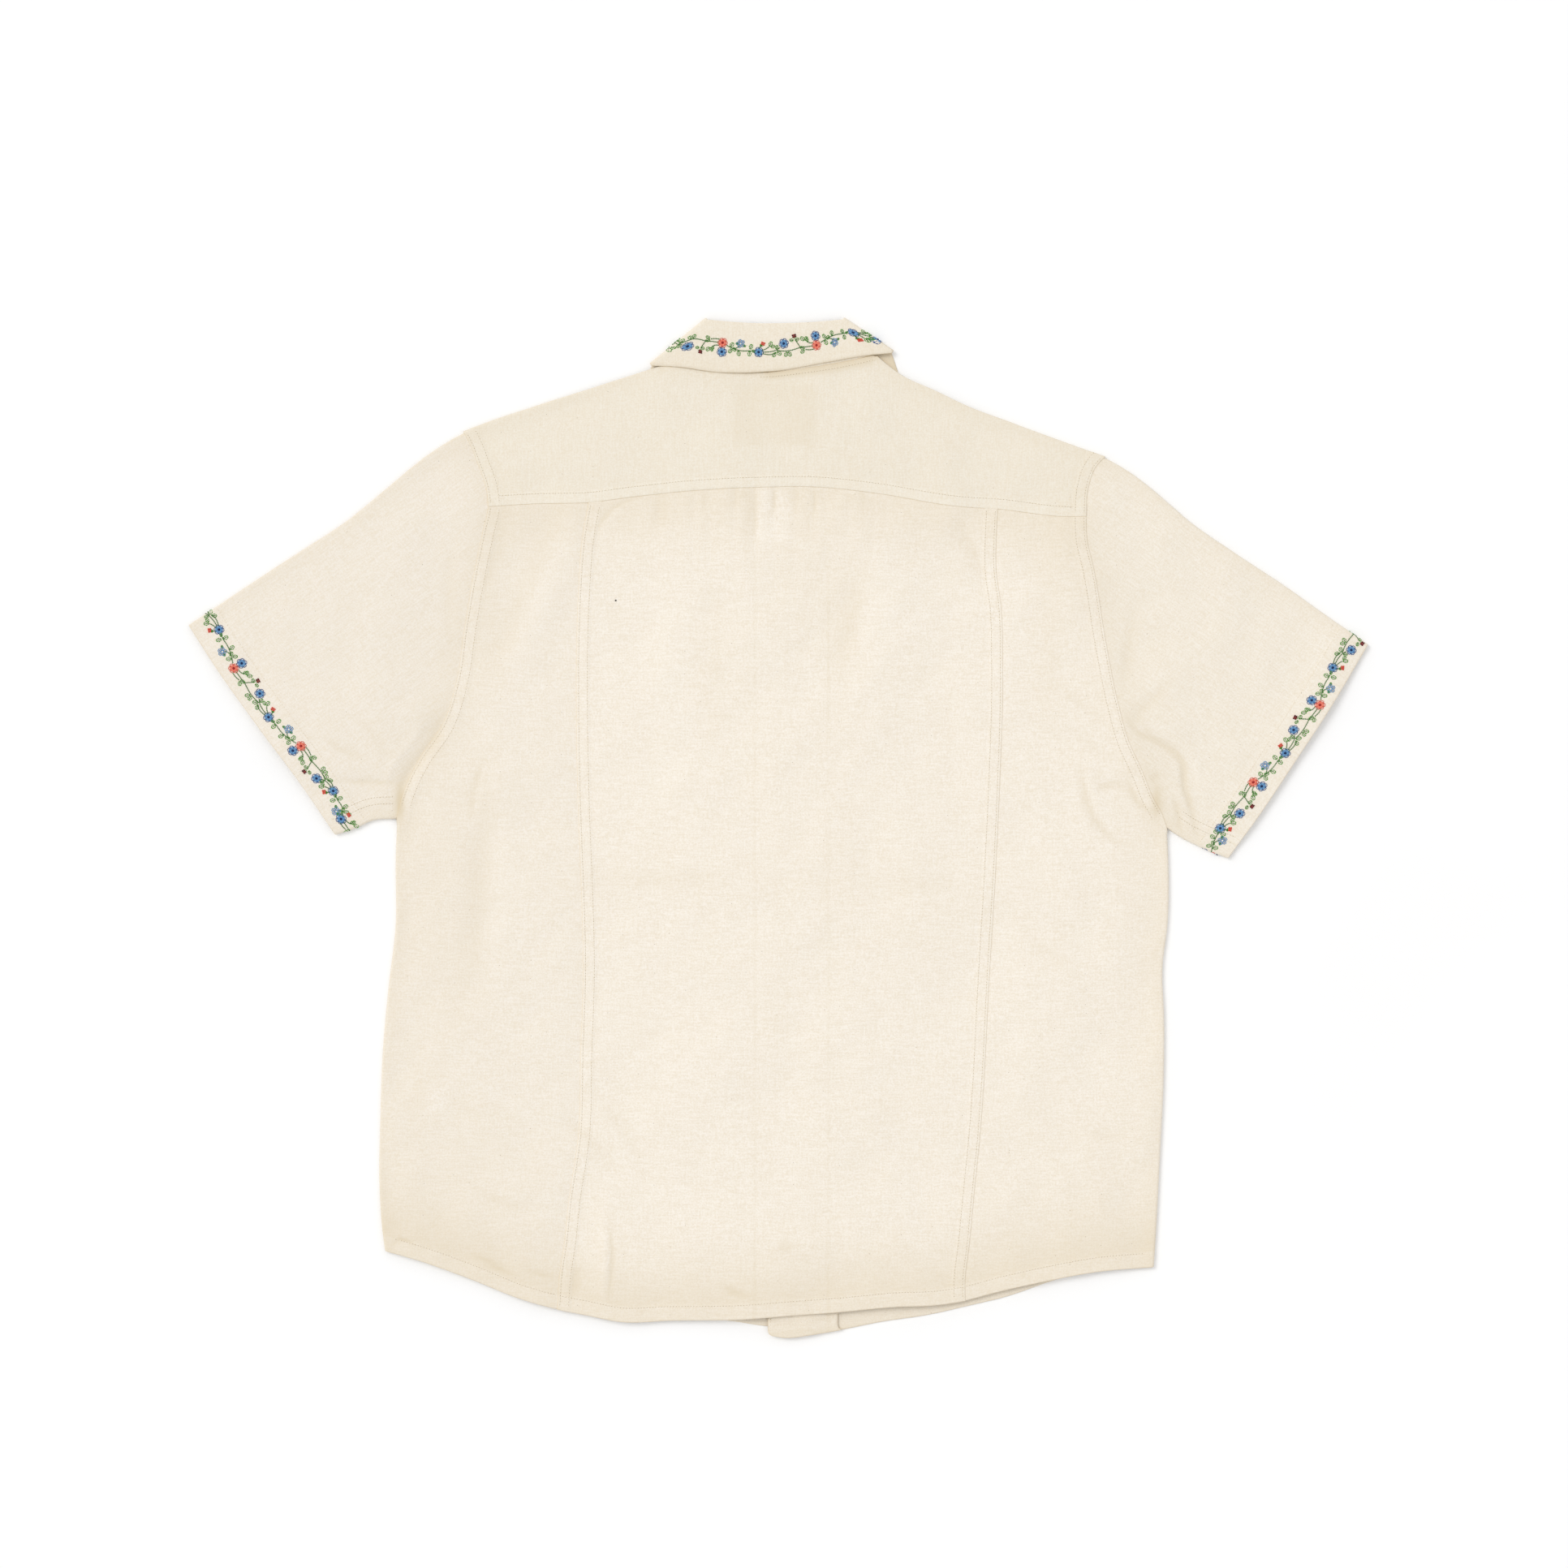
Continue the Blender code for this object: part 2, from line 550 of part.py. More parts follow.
def build_back_side(side):
    inner = PRINCESS[side]
    half_gap = np.array([OUTWARD[side] * SEAM_GAP / 2, 0.0])
    seam_share = YOKE_SHARE[side]
    fixed = [ARMHOLE[side].at(seam_share), inner.at(0.0), SIDE[side].at(1.0), inner.at(1.0)]
    rows = []
    for down, upper, lower in body_rows():
        turned = 0.0 if lower is None else 1.0
        outer_point = outer_place(side, upper, lower, seam_share)
        inner_point = inner.at(down) + half_gap
        width = np.linalg.norm(inner_point - outer_point)
        inset, drop = rolled_edge(turned)
        rest = inset[-1] / width + (1 - inset[-1] / width) * np.array(SIDE_COLUMNS)
        across = np.concatenate([inset / width, rest])
        plan = panel_row(outer_point, inner_point, across, down, yoke_seam_y, hem_y, fixed)
        plan[:, 1] -= seam_inset(down)
        heights = top_height(plan[:, 0], plan[:, 1])
        heights[: len(drop)] -= drop
        rows.append(lifted(plan, heights))
    add_cloth("back_side_" + side, *sheet_of(rows))


def yoke_place(across, down):
    """Plan point of the yoke: across from the left armhole, down from the shoulder."""
    left = ARMHOLE["left"].at(YOKE_SHARE["left"] * down) + np.array([SEAM_GAP / 2, 0.0])
    right = ARMHOLE["right"].at(YOKE_SHARE["right"] * down) - np.array([SEAM_GAP / 2, 0.0])
    corners = [
        ARMHOLE["left"].at(0.0), ARMHOLE["right"].at(0.0), np.array(YOKE_SEAM[0]),
        np.array(YOKE_SEAM[-1]),
    ]
    across = np.array([across])
    return panel_row(left, right, across, down, yoke_top_y, yoke_seam_y, corners)[0]


def yoke_share(across, distance):
    """Share of the way down that lies a given distance from the shoulder."""
    tall = np.linalg.norm(yoke_place(across, 1.0) - yoke_place(across, 0.0))
    return distance / tall


def yoke_columns():
    """Shares across the yoke: left shoulder, neck and right shoulder."""
    first_x = ARMHOLE_LEFT[0][0]
    width = ARMHOLE_RIGHT[0][0] - first_x
    neck_left = (NECK_LEFT_X - first_x) / width
    neck_right = (NECK_RIGHT_X - first_x) / width
    left = np.linspace(0.0, neck_left, SHOULDER_COLUMNS["left"])
    neck = np.linspace(neck_left, neck_right, NECK_COLUMNS)[1:-1]
    right = np.linspace(neck_right, 1.0, SHOULDER_COLUMNS["right"])
    return left, neck, right


def yoke_inner_end(across, shoulder):
    """Where the upper layer ends: at the roll of a shoulder, or at the neck seam."""
    return yoke_share(across, FOLD_INSET if shoulder else SEAM_GAP / 2)


def yoke_turn(across):
    """Points of one column round the shoulder and down to the seam on the front."""
    start = yoke_place(across, yoke_share(across, FOLD_INSET))
    outward = yoke_place(across, 0.0) - start
    outward = outward / np.linalg.norm(outward)
    above = float(top_height(start[0], start[1]))
    below = float(under_height(start[0], start[1]))
    radius = (above - below) / 2
    column = [(*start, above)]
    for angle in np.radians(TURN_ANGLES):
        place = start + outward * radius * math.sin(angle)
        column.append((*place, (above + below) / 2 + radius * math.cos(angle)))
    column.append((*start, below))
    for distance in (YOKE_FRONT_DROP / 2, YOKE_FRONT_DROP):
        place = yoke_place(across, yoke_share(across, distance))
        column.append((*place, float(under_height(place[0], place[1]))))
    return column


def build_yoke():
    left, neck, right = yoke_columns()
    columns = [(share, True) for share in left]
    columns += [(share, False) for share in neck]
    columns += [(share, True) for share in right]
    rows = []
    for across, shoulder in columns:
        end = yoke_inner_end(across, shoulder)
        downs = [down for down in YOKE_ROWS] + [end]
        places = np.array([yoke_place(across, down) for down in downs])
        places[0, 1] += SEAM_GAP / 2
        rows.append(lifted(places, top_height(places[:, 0], places[:, 1])))
    points, faces = sheet_of(rows)
    for stretch in (left, right):
        more_points, more_faces = sheet_of([yoke_turn(across) for across in stretch])
        offset = len(points)
        points += more_points
        faces += [tuple(index + offset for index in face) for face in more_faces]
    add_cloth("yoke", points, faces)


def yoke_front_seam(side):
    """The yoke's seam on the front, from the armhole to the neck, as x and y."""
    left, _, right = yoke_columns()
    stretch = left if side == "left" else right
    places = [
        yoke_place(across, yoke_share(across, YOKE_FRONT_DROP)) for across in stretch
    ]
    return np.array(places)


def sleeve_stations(side):
    """Shares along the armhole of the ring's upper points and of its lower points."""
    seam_share = YOKE_SHARE[side]
    yoke_part = [seam_share * down for down in sorted(YOKE_ROWS)]
    upper = yoke_part + [seam_share + (1 - seam_share) * share for share in UPPER_ROWS[1:-1]]
    drop_share = front_seam_share(side)
    lower = [drop_share / 2]
    lower += [drop_share + (1 - drop_share) * share for share in UPPER_ROWS[:-1]]
    return upper, lower


def front_seam_share(side):
    """Share of the armhole where the yoke's front seam meets it."""
    across = 0.0 if side == "left" else 1.0
    return YOKE_SHARE[side] * yoke_share(across, YOKE_FRONT_DROP)


def sleeve_place(side, station, row):
    """Plan point of a sleeve: station from the shoulder to the armpit, row to the cuff."""
    armhole = ARMHOLE[side]
    cuff = CUFF[side]
    over = OVERARM[side]
    under = UNDERARM[side]
    ring = (1 - row) * armhole.at(station) + row * cuff.at(station)
    length = (1 - station) * over.at(row) + station * under.at(row)
    corners = (1 - station) * ((1 - row) * armhole.at(0.0) + row * cuff.at(0.0))
    corners = corners + station * ((1 - row) * armhole.at(1.0) + row * cuff.at(1.0))
    room = SEAM_GAP * (0.5 + station**ARMPIT_ROOM)
    gap = np.array([OUTWARD[side] * room * (1 - row), 0.0])
    return ring + length - corners + gap


def sleeve_ring(side, row):
    """One ring round the flattened sleeve: upper layer, underarm fold, lower layer, overarm."""
    upper, lower = sleeve_stations(side)
    size = np.linalg.norm(sleeve_place(side, 0.0, row) - sleeve_place(side, 1.0, row))
    end = (FOLD_INSET + SEAM_GAP) / size
    ring = []

    def turn(station, edge, from_top):
        start = sleeve_place(side, station, row)
        outward = sleeve_place(side, edge, row) - start
        outward = outward / np.linalg.norm(outward)
        above = float(top_height(start[0], start[1]))
        radius = (above - FLOOR) / 2
        sign = 1.0 if from_top else -1.0
        ring.append((*start, above if from_top else FLOOR))
        for angle in np.radians(TURN_ANGLES):
            place = start + outward * radius * math.sin(angle)
            ring.append((*place, FLOOR + radius + sign * radius * math.cos(angle)))
        ring.append((*start, FLOOR if from_top else above))

    for station in upper:
        place = sleeve_place(side, station, row)
        ring.append((*place, float(top_height(place[0], place[1]))))
    turn(1.0 - end, 1.0, True)
    for station in reversed(lower):
        place = sleeve_place(side, station, row)
        ring.append((*place, FLOOR))
    turn(end, 0.0, False)
    return ring


def build_sleeve(side):
    rings = [sleeve_ring(side, row) for row in SLEEVE_ROWS]
    count = len(rings[0])
    points = [point for ring in rings for point in ring]
    faces = []
    for k in range(len(rings) - 1):
        for i in range(count):
            j = (i + 1) % count
            faces.append((k * count + i, k * count + j, (k + 1) * count + j, (k + 1) * count + i))
    add_cloth("sleeve_" + side, points, faces)


def front_inner_place(side, down):
    """A point of a front's inner edge: neck seam, roll of the lapel, then straight down."""
    outward = OUTWARD[side]
    seam = yoke_front_seam(side)
    corner = seam[-1] if side == "left" else seam[0]
    edge_x = LEFT_EDGE_X if side == "left" else RIGHT_EDGE_X
    start_share, start_y = FRONT_EDGE_START
    bottom = float(front_hem_y[side](edge_x))
    table = [(0.0, corner[0], corner[1])]
    table += [(share, outward * away, y) for share, away, y in FRONT_INNER]
    table += [(start_share, edge_x, start_y), (1.0, edge_x, bottom)]
    shares, xs, ys = (np.array(column) for column in zip(*table))
    return np.array([np.interp(down, shares, xs), np.interp(down, shares, ys)])


def front_rows():
    """Rows of a front, with one at each corner of its inner edge."""
    rows = [(share * ARMPIT_SHARE, share, None) for share in UPPER_ROWS]
    inner = sorted({row[0] for row in FRONT_INNER} | {FRONT_EDGE_START[0]})
    rows = [row for row in rows if min(abs(row[0] - share) for share in inner) > ROW_CLEARANCE]
    rows += [(share, share / ARMPIT_SHARE, None) for share in inner]
    rows += [(ARMPIT_SHARE + (1 - ARMPIT_SHARE) * share, None, share) for share in LOWER_ROWS]
    return sorted(rows, key=lambda row: row[0])


def front_insets(side):
    """Distances of the columns from the inner edge, at each bend of the layers."""
    if side == "left":
        places = [LEFT_EDGE_X, BUTTON_X + LIFT_TOP, BUTTON_X - LIFT_TOP, BUTTON_X - LIFT_FOOT]
        return [LEFT_EDGE_X - place for place in places]
    places = [
        RIGHT_EDGE_X, BUTTON_X - LIFT_TOP, BUTTON_X + LIFT_TOP, OVERLAP_FLAT,
        BUTTON_X + LIFT_FOOT, OVERLAP_FOOT, RIGHT_EDGE_X + FACING_WIDTH,
    ]
    return [place - RIGHT_EDGE_X for place in places]


def build_front(side):
    seam = yoke_front_seam(side)
    drop_share = front_seam_share(side)
    height = under_height if side == "left" else right_front_height
    outer_top = seam[0] if side == "left" else seam[-1]
    corners = [
        front_inner_place(side, 0.0), outer_top,
        front_inner_place(side, 1.0), SIDE[side].at(1.0),
    ]
    rows = []
    for down, upper, lower in front_rows():
        turned = 0.0 if lower is None else 1.0
        outer_point = outer_place(side, upper, lower, drop_share)
        inner_point = front_inner_place(side, down)
        width = np.linalg.norm(inner_point - outer_point)
        inset, drop = rolled_edge(turned)
        near = np.array(front_insets(side))
        reach = (width - inset[-1] - near[-1]) * np.array(FRONT_COLUMNS)
        away = np.concatenate([near, near[-1] + reach, width - inset[::-1]])
        across = away / width
        plan = panel_row(
            inner_point, outer_point, across, down,
            lambda x: np.interp(x, seam[:, 0], seam[:, 1]), front_hem_y[side], corners,
        )
        if down == 0.0:
            plan[:, 1] -= 2 * SEAM_GAP
        heights = height(plan[:, 0], plan[:, 1])
        heights[-len(drop):] += drop[::-1]
        rows.append(lifted(plan, heights))
    add_cloth("front_" + side, *sheet_of(rows))
    if side == "right":
        build_facing(rows)


def build_facing(front):
    """The right front's facing, folded back on to the front's own points."""
    columns = len(front_insets("right"))
    first = [row[0] for row in front_rows()].index(FRONT_EDGE_START[0])
    rise = np.array([0.0, 0.0, OVERLAP_RISE])
    add_cloth("facing_right", *sheet_of([row[:columns] + rise for row in front[first:]]))


def build_lapel(side):
    """Folded back along its roll, between the front and the table."""
    outward = OUTWARD[side]
    roll = [np.array([outward * away, y]) for away, y in LAPEL_ROLL]
    outer = [np.array([outward * away, y]) for away, y in LAPEL_OUTER]
    run = roll[1] - roll[0]
    middle = np.array([-outward * abs(run[1]), -abs(run[0])]) / np.linalg.norm(run)
    middle[1] = -middle[1]
    rows = []
    for down in LAPEL_ROWS:
        start = roll[0] + run * down
        end = outer[0] + (outer[1] - outer[0]) * down
        row = [(*start, FLOOR + LAYER)]
        for angle in np.radians(TURN_ANGLES):
            place = start + middle * LAYER / 2 * math.sin(angle)
            row.append((*place, FLOOR + LAYER / 2 * (1 + math.cos(angle))))
        for share in LAPEL_COLUMNS:
            row.append((*(start + (end - start) * share), FLOOR))
        rows.append(row)
    add_cloth("lapel_" + side, *sheet_of(rows))


def collar_section(seam, fold, edge):
    """One section across the collar: plan point and distance from the middle layer."""
    seam, fold, edge = (np.array(point) for point in (seam, fold, edge))
    upward = (fold - seam) / np.linalg.norm(fold - seam)
    section = [(seam + (fold - seam) * share, STAND_RADIUS) for share in STAND_COLUMNS]
    for angle in np.radians(TURN_ANGLES):
        place = fold + upward * LAYER / 2 * math.sin(angle)
        section.append((place, STAND_RADIUS + LAYER / 2 * (1 - math.cos(angle))))
    section += [(fold + (edge - fold) * share, FALL_RADIUS) for share in FALL_COLUMNS]
    return section


def build_collar():
    rows = []

    def flat_rows(stations, sign):
        for station in stations:
            section = collar_section(*station)
            rows.append([(*place, COLLAR_MIDDLE + sign * radius) for place, radius in section])

    def side_turn(station, outward, angles):
        outward = np.array(outward) / np.linalg.norm(outward)
        for angle in np.radians(angles):
            row = []
            for place, radius in collar_section(*station):
                moved = place + outward * radius * math.sin(angle)
                row.append((*moved, COLLAR_MIDDLE + radius * math.cos(angle)))
            rows.append(row)

    flat_rows(COLLAR_FRONT_LEFT, -1.0)
    side_turn(COLLAR_BACK[0], COLLAR_TURN_LEFT, (180.0,) + TURN_ANGLES[::-1])
    flat_rows(COLLAR_BACK, 1.0)
    side_turn(COLLAR_BACK[-1], COLLAR_TURN_RIGHT, TURN_ANGLES + (180.0,))
    flat_rows(COLLAR_FRONT_RIGHT, -1.0)
    add_cloth("collar", *sheet_of(rows))


def build_button(name, y):
    """A turned button with a raised rim, its face to the table."""
    sides = BUTTON_SIDES
    rings = len(BUTTON_PROFILE)
    points = []
    for radius, z in BUTTON_PROFILE:
        for k in range(sides):
            angle = 2 * math.pi * k / sides
            x = BUTTON_X + radius * math.cos(angle)
            points.append((x, y + radius * math.sin(angle), z))
    faces = [tuple(range(sides)), tuple(range((rings - 1) * sides, rings * sides))]
    for ring in range(rings - 1):
        for k in range(sides):
            after = (k + 1) % sides
            here = ring * sides
            faces.append((here + k, here + after, here + sides + after, here + sides + k))
    add_object(name, points, faces, BUTTON_COLOUR, 0.35)


def main():
    for item in list(bpy.data.objects):
        bpy.data.objects.remove(item, do_unlink=True)
    build_back_centre()
    build_yoke()
    build_collar()
    for side in ("left", "right"):
        build_back_side(side)
        build_sleeve(side)
        build_front(side)
        build_lapel(side)
    for number in range(BUTTON_COUNT):
        build_button("button_" + str(number + 1), FIRST_BUTTON_Y - BUTTON_STEP * number)


main()
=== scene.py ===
import math

import bpy
import numpy as np
from mathutils import Matrix


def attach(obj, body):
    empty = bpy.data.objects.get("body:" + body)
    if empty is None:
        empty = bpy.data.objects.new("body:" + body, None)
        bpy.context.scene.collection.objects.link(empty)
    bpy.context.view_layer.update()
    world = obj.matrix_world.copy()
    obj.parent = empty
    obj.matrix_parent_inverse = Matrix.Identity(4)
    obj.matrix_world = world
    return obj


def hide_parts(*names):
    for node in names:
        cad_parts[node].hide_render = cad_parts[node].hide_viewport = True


# The looks of a short-sleeved camp shirt that lies flat on its front. The tables are in
# millimetres, as in the part's source: +X right, +Y to the collar, +Z up from the table.
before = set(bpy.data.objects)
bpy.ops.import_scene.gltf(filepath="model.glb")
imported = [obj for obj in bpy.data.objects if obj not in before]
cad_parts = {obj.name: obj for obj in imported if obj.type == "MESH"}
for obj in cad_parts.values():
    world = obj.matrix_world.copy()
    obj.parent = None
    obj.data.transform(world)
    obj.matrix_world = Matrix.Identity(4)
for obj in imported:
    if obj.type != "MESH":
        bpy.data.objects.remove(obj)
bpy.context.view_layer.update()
MM = 0.001

# The cloth and its layers. The shown cloth is a little thinner than the solids' wall
WALL = 0.9
LAYER = 1.5
SEAM_GAP = 0.4
FOLD_RADIUS = 1.5
FLOOR = 0.6
EDGE_TOP = FLOOR + 2 * FOLD_RADIUS
FOLD_INSET = 2.1
BODY_CROWN = 1.6
PLACKET_CROWN = 3.4
PLACKET_CROWN_REACH = 105
CROWN_REACH = 40
HEM_FALL = 60
HEM_CROWN_SHARE = 0.6

# Buttons and the button stand
BUTTON_COUNT = 7
BUTTON_X = 5
FIRST_BUTTON_Y = 250.5
BUTTON_STEP = 95
BUTTON_THICKNESS = 1.8
HOLE_PLACE = 1.55
LAST_BUTTON_Y = FIRST_BUTTON_Y - BUTTON_STEP * (BUTTON_COUNT - 1)
BUTTON_LIFT = BUTTON_THICKNESS + 0.3
LIFT_TOP = 7
LIFT_FOOT = 21
LIFT_RUN = 20
LIFT_MARGIN = 28
LEFT_EDGE_X = 18.6
RIGHT_EDGE_X = -7.6
OVERLAP_FLAT = 21.5
OVERLAP_FOOT = 37
OVERLAP_RISE = 1.8
FACING_WIDTH = 53.6

# Where the collar and lapels lie between the fronts and the table
NECK_COVER_X = 145
NECK_COVER_FADE_X = 30
NECK_COVER_Y = 225
NECK_COVER_FADE_Y = 30

# Lengths that the rows of the panels are spaced over
BACK_LENGTH = 616
FRONT_LENGTH = 703
SLEEVE_LENGTH = 255

# Yoke and collar
YOKE_FRONT_DROP = 27
STAND_RADIUS = LAYER / 2
FALL_RADIUS = 3 * LAYER / 2
COLLAR_MIDDLE = FLOOR + FALL_RADIUS

# Felled seams and hems: width of the raised band from its folded edge, rows of stitches, rise
NECK_BAND = 4.6
CUFF_HEM = 25
BAND = {
    "princess": (8.8, (1.6, 8.3), 0.28), "armhole": (8.8, (1.6, 8.3), 0.28),
    "yoke": (7.8, (7.4,), 0.32), "neck": (NECK_BAND, (NECK_BAND - 1,), 0.2), "hem": (11, (10.6,), 0.3),
    "cuff": (CUFF_HEM, (CUFF_HEM,), 0.3), "front_hem": (11, (), 0.2),
}
BAND_SOFT = 1.6
GROOVE_DEPTH = 0.09
GROOVE_WIDTH = 0.55
TUCK = 1.3
TUCK_DEPTH = 0.12
TUCK_REACH = 3.2
PUCKER = 0.13
PUCKER_REACH = 12

# Thread
STITCH_PITCH = 2.25
STITCH_GAP = 0.75
STITCH_RADIUS = 0.2
HOLE_RADIUS = 0.26

# Seams and edges seen from above: x, y. Hems, the neck and the seams and edges of the yoke run
# from left to right, the others from the top down
OUTLINE = {
    "princess_left": (
        (-144.5, 247.8), (-149.4, 219.5), (-151.9, 188.5), (-153.8, 138), (-153.8, 74), (-152.5, 12),
        (-150, -50), (-148.8, -112), (-150.7, -174), (-152.5, -236), (-160, -287), (-163.1, -317),
        (-166.8, -342), (-168.6, -368),
    ),
    "princess_right": (
        (167.4, 243), (166.2, 218), (166.2, 198), (170, 168), (171.1, 123), (168, 12), (161.2, -112),
        (153.8, -236), (148.2, -292), (145.7, -318.7), (142.4, -347.8), (142.6, -361.5),
    ),
    "armhole_left": (
        (-240.6, 302.6), (-235.6, 293), (-228.8, 275.9), (-223.2, 259.8), (-221.3, 245), (-225.1, 227),
        (-231.3, 197.8), (-239.9, 148.2), (-244.9, 114.1), (-255.4, 80), (-274.7, 50.8), (-282.7, 35.3),
        (-288.9, 18), (-291.4, 5.6),
    ),
    "armhole_right": (
        (249.9, 283.3), (242.4, 275), (236.8, 259.8), (235, 237.5), (235.4, 221.3), (240.6, 197.8),
        (251.1, 135.8), (259.8, 92.4), (267.2, 66), (278.4, 41.5), (285.8, 23), (293.3, 9.3), (297, -1.2),
    ),
    "yoke": (
        (-221.3, 245), (-185.4, 247.1), (-144.5, 248), (-110.4, 252.3), (-68.2, 256.7), (-16.1, 259.3),
        (25.4, 259.8), (75, 254.8), (137, 244.9), (167.4, 243), (222.6, 237.2), (235, 237.5),
    ),
    "neck": (
        (-86.2, 354.6), (-55.2, 349.8), (-5.6, 347.6), (17.4, 350.2), (39.7, 353.4), (62.6, 358), (75, 361),
    ),
    "hem": (
        (-300.7, -323.6), (-275.9, -330.5), (-235, -345.3), (-197.8, -360.2), (-168.6, -368.3),
        (-143.8, -373.2), (-122.1, -377.4), (-80, -376.6), (-29.8, -375.7), (3.1, -373.2), (47.7, -370.1),
        (87.4, -366.2), (124.6, -364.4), (142.6, -361.5), (174.2, -353.4), (205.2, -346.6), (242.4, -339.6),
        (287.1, -336),
    ),
    "cuff_left": ((-450.7, 155), (-430.3, 123.4), (-394.9, 73.8), (-367, 36.6), (-337.9, -6.2)),
    "cuff_right": ((450.7, 140.1), (425.9, 98.6), (393.7, 49), (368.9, 11.8), (342.9, -24.2)),
    "front_hem_left": (
        (-300.7, -322), (-235, -343.5), (-168.6, -366.5), (-122.1, -375.6), (-80, -375.6), (-36.6, -377),
        (-8.7, -381), (LEFT_EDGE_X, -383),
    ),
    "front_hem_right": (
        (RIGHT_EDGE_X, -388.6), (1.9, -390), (20.5, -388.1), (44, -384.4), (75, -378.2), (112.8, -372.6),
        (143.2, -365.8), (174.2, -358.4), (205.2, -347.8), (242.4, -338), (287.1, -334),
    ),
    "underarm_left": ((-291.4, 5.6), (-309.4, 4.3), (-324.3, -1.9), (-337.9, -6.2)),
    "underarm_right": ((297, -1.2), (308.1, -8.7), (323, -16.1), (342.9, -24.2)),
    "side_left": (
        (-291.4, 5.6), (-292.6, -25.4), (-292.6, -75), (-298.2, -124.6), (-302.6, -174.2), (-304.4, -223.8),
        (-305, -273.4), (-303.2, -304.4), (-300.7, -323.6),
    ),
    "side_right": (
        (297, -1.2), (298.2, -25.4), (297.6, -75), (293.9, -106), (295.1, -149.4), (294.5, -199),
        (292, -248.6), (289.5, -298.2), (287.1, -336),
    ),
    "overarm_left": (
        (-240.6, 302.6), (-269.1, 284.6), (-299.5, 259.8), (-329.8, 235), (-367.7, 210.2), (-405.5, 185.4),
        (-450.7, 155),
    ),
    "overarm_right": (
        (249.9, 283.3), (271.6, 270), (299.5, 247.4), (312.5, 236), (349.1, 210.2), (386.9, 185.4),
        (421.6, 160.6), (450.7, 140.1),
    ),
    "shoulder_left": (
        (-240.6, 302.6), (-223.2, 309.4), (-186, 321.8), (-148.8, 334.2), (-122.1, 342.9), (-104.8, 348.4),
        (-86.2, 354.6),
    ),
    "shoulder_right": (
        (75, 361), (93.6, 346.6), (120.3, 334.2), (146.3, 321.8), (177.9, 309.4), (211.4, 297),
        (249.9, 283.3),
    ),
}

# Inner edge of a front: share of the way down, distance out from the middle, y. The first rows
# follow the neck seam to the roll of the lapel, the next ones the roll to the first button.
FRONT_INNER = (
    (0.04, 58, 326), (0.08, 34, 318.2), (0.14, 19.8, 293.1), (0.21, 4, 265.3),
)
FRONT_EDGE_START = (0.25, 246)

# Collar lines from above: x, y of the neck seam, the top fold and the free edge, one row for
# each station from the left collar point, round the back of the neck, to the right one
COLLAR_FRONT_LEFT = (
    ((-39.5, 325), (-35, 329.5), (-112, 292)),
    ((-58, 330), (-43, 346), (-108, 314)),
    ((-79, 335), (-50, 367), (-104, 336)),
)
COLLAR_BACK = (
    ((-85.4, 355), (-54.6, 386.6), (-96.4, 352.6)),
    ((-74, 353), (-44, 385.6), (-76, 351.6)),
    ((-54, 350), (-28, 384.4), (-50, 348)),
    ((-2.5, 348.2), (-2.5, 383.6), (-2.5, 348.6)),
    ((40, 353.8), (26, 384.6), (38, 355.4)),
    ((60, 357.8), (40, 385.8), (66, 360.2)),
    ((74.6, 361.6), (49.8, 386.8), (86.4, 362.2)),
)
COLLAR_FRONT_RIGHT = (
    ((70.5, 341), (46, 367), (93, 342)),
    ((54, 331), (41, 346), (100, 316)),
    ((37.5, 325), (33, 329.5), (106, 292)),
)
COLLAR_TURN_LEFT = (-0.62, 0.785)
COLLAR_TURN_RIGHT = (0.56, 0.83)

# Lapels: distance out from the middle and y of the roll's ends and the outer edge's ends
LAPEL_ROLL = ((33.4, 318.5), (2.5, 264))
LAPEL_OUTER = ((76, 296), (98, 264))

# Gathers under the yoke: x at the seam, length, depth
GATHERS = (
    (-92, 45, 0.9), (-77, 60, 0.8), (-64.5, 55, 1), (-52, 70, 0.9), (-33.5, 60, 1.1), (-18, 80, 0.9),
    (-3, 55, 1), (12, 75, 0.9), (25.5, 60, 1), (37, 70, 0.8), (54, 60, 0.9), (72, 50, 0.7),
)
GATHER_WIDTH = 3.2

# Largest folds: start x, y, end x, y, half width, height
FOLDS = (
    (-167, 244, -198, 205, 12, -0.9), (-198, 205, -222, 110, 14, -1), (-150, 225, -178, 150, 14, 0.7),
    (-46, 205, -50, 40, 16, -0.8), (50, 205, 46, 30, 16, -0.8), (92, 205, 96, 60, 18, 0.8),
    (0, 190, 4, 20, 18, 0.5), (137, 235, 159, 180, 10, -0.6), (-227, -15, -230, -165, 14, -1),
    (-131, -285, -133, -366, 9, 1.1), (-229, -276, -190, -294, 10, -0.6),
    (-161, -222, -120, -264, 12, -0.6), (-262, 76, -285, 38, 8, -1.4), (-285, 38, -291, 14, 7, -1),
    (-282, 92, -268, 60, 12, 0.9), (-336, 36, -288, 33, 7, -0.8), (276, 76, 317, 38, 9, -1.4),
    (317, 38, 322, -4, 8, -1.1), (273, 175, 264, 105, 14, -1), (230, 49, 240, 5, 11, 0.7),
)

# Share of a body panel's height that lies above the armpit
ARMPIT_SHARE = 0.395

SIDES = ("left", "right")
OUTWARD = {"left": -1, "right": 1}


def travelled(path):
    """How far along a path each of its points is."""
    steps = np.linalg.norm(np.diff(path, axis=0), axis=1)
    return np.concatenate([[0], np.cumsum(steps)])


def unit(rows):
    """Directions, each made one long."""
    return rows / np.maximum(np.linalg.norm(rows, axis=-1), 1e-9)[..., None]


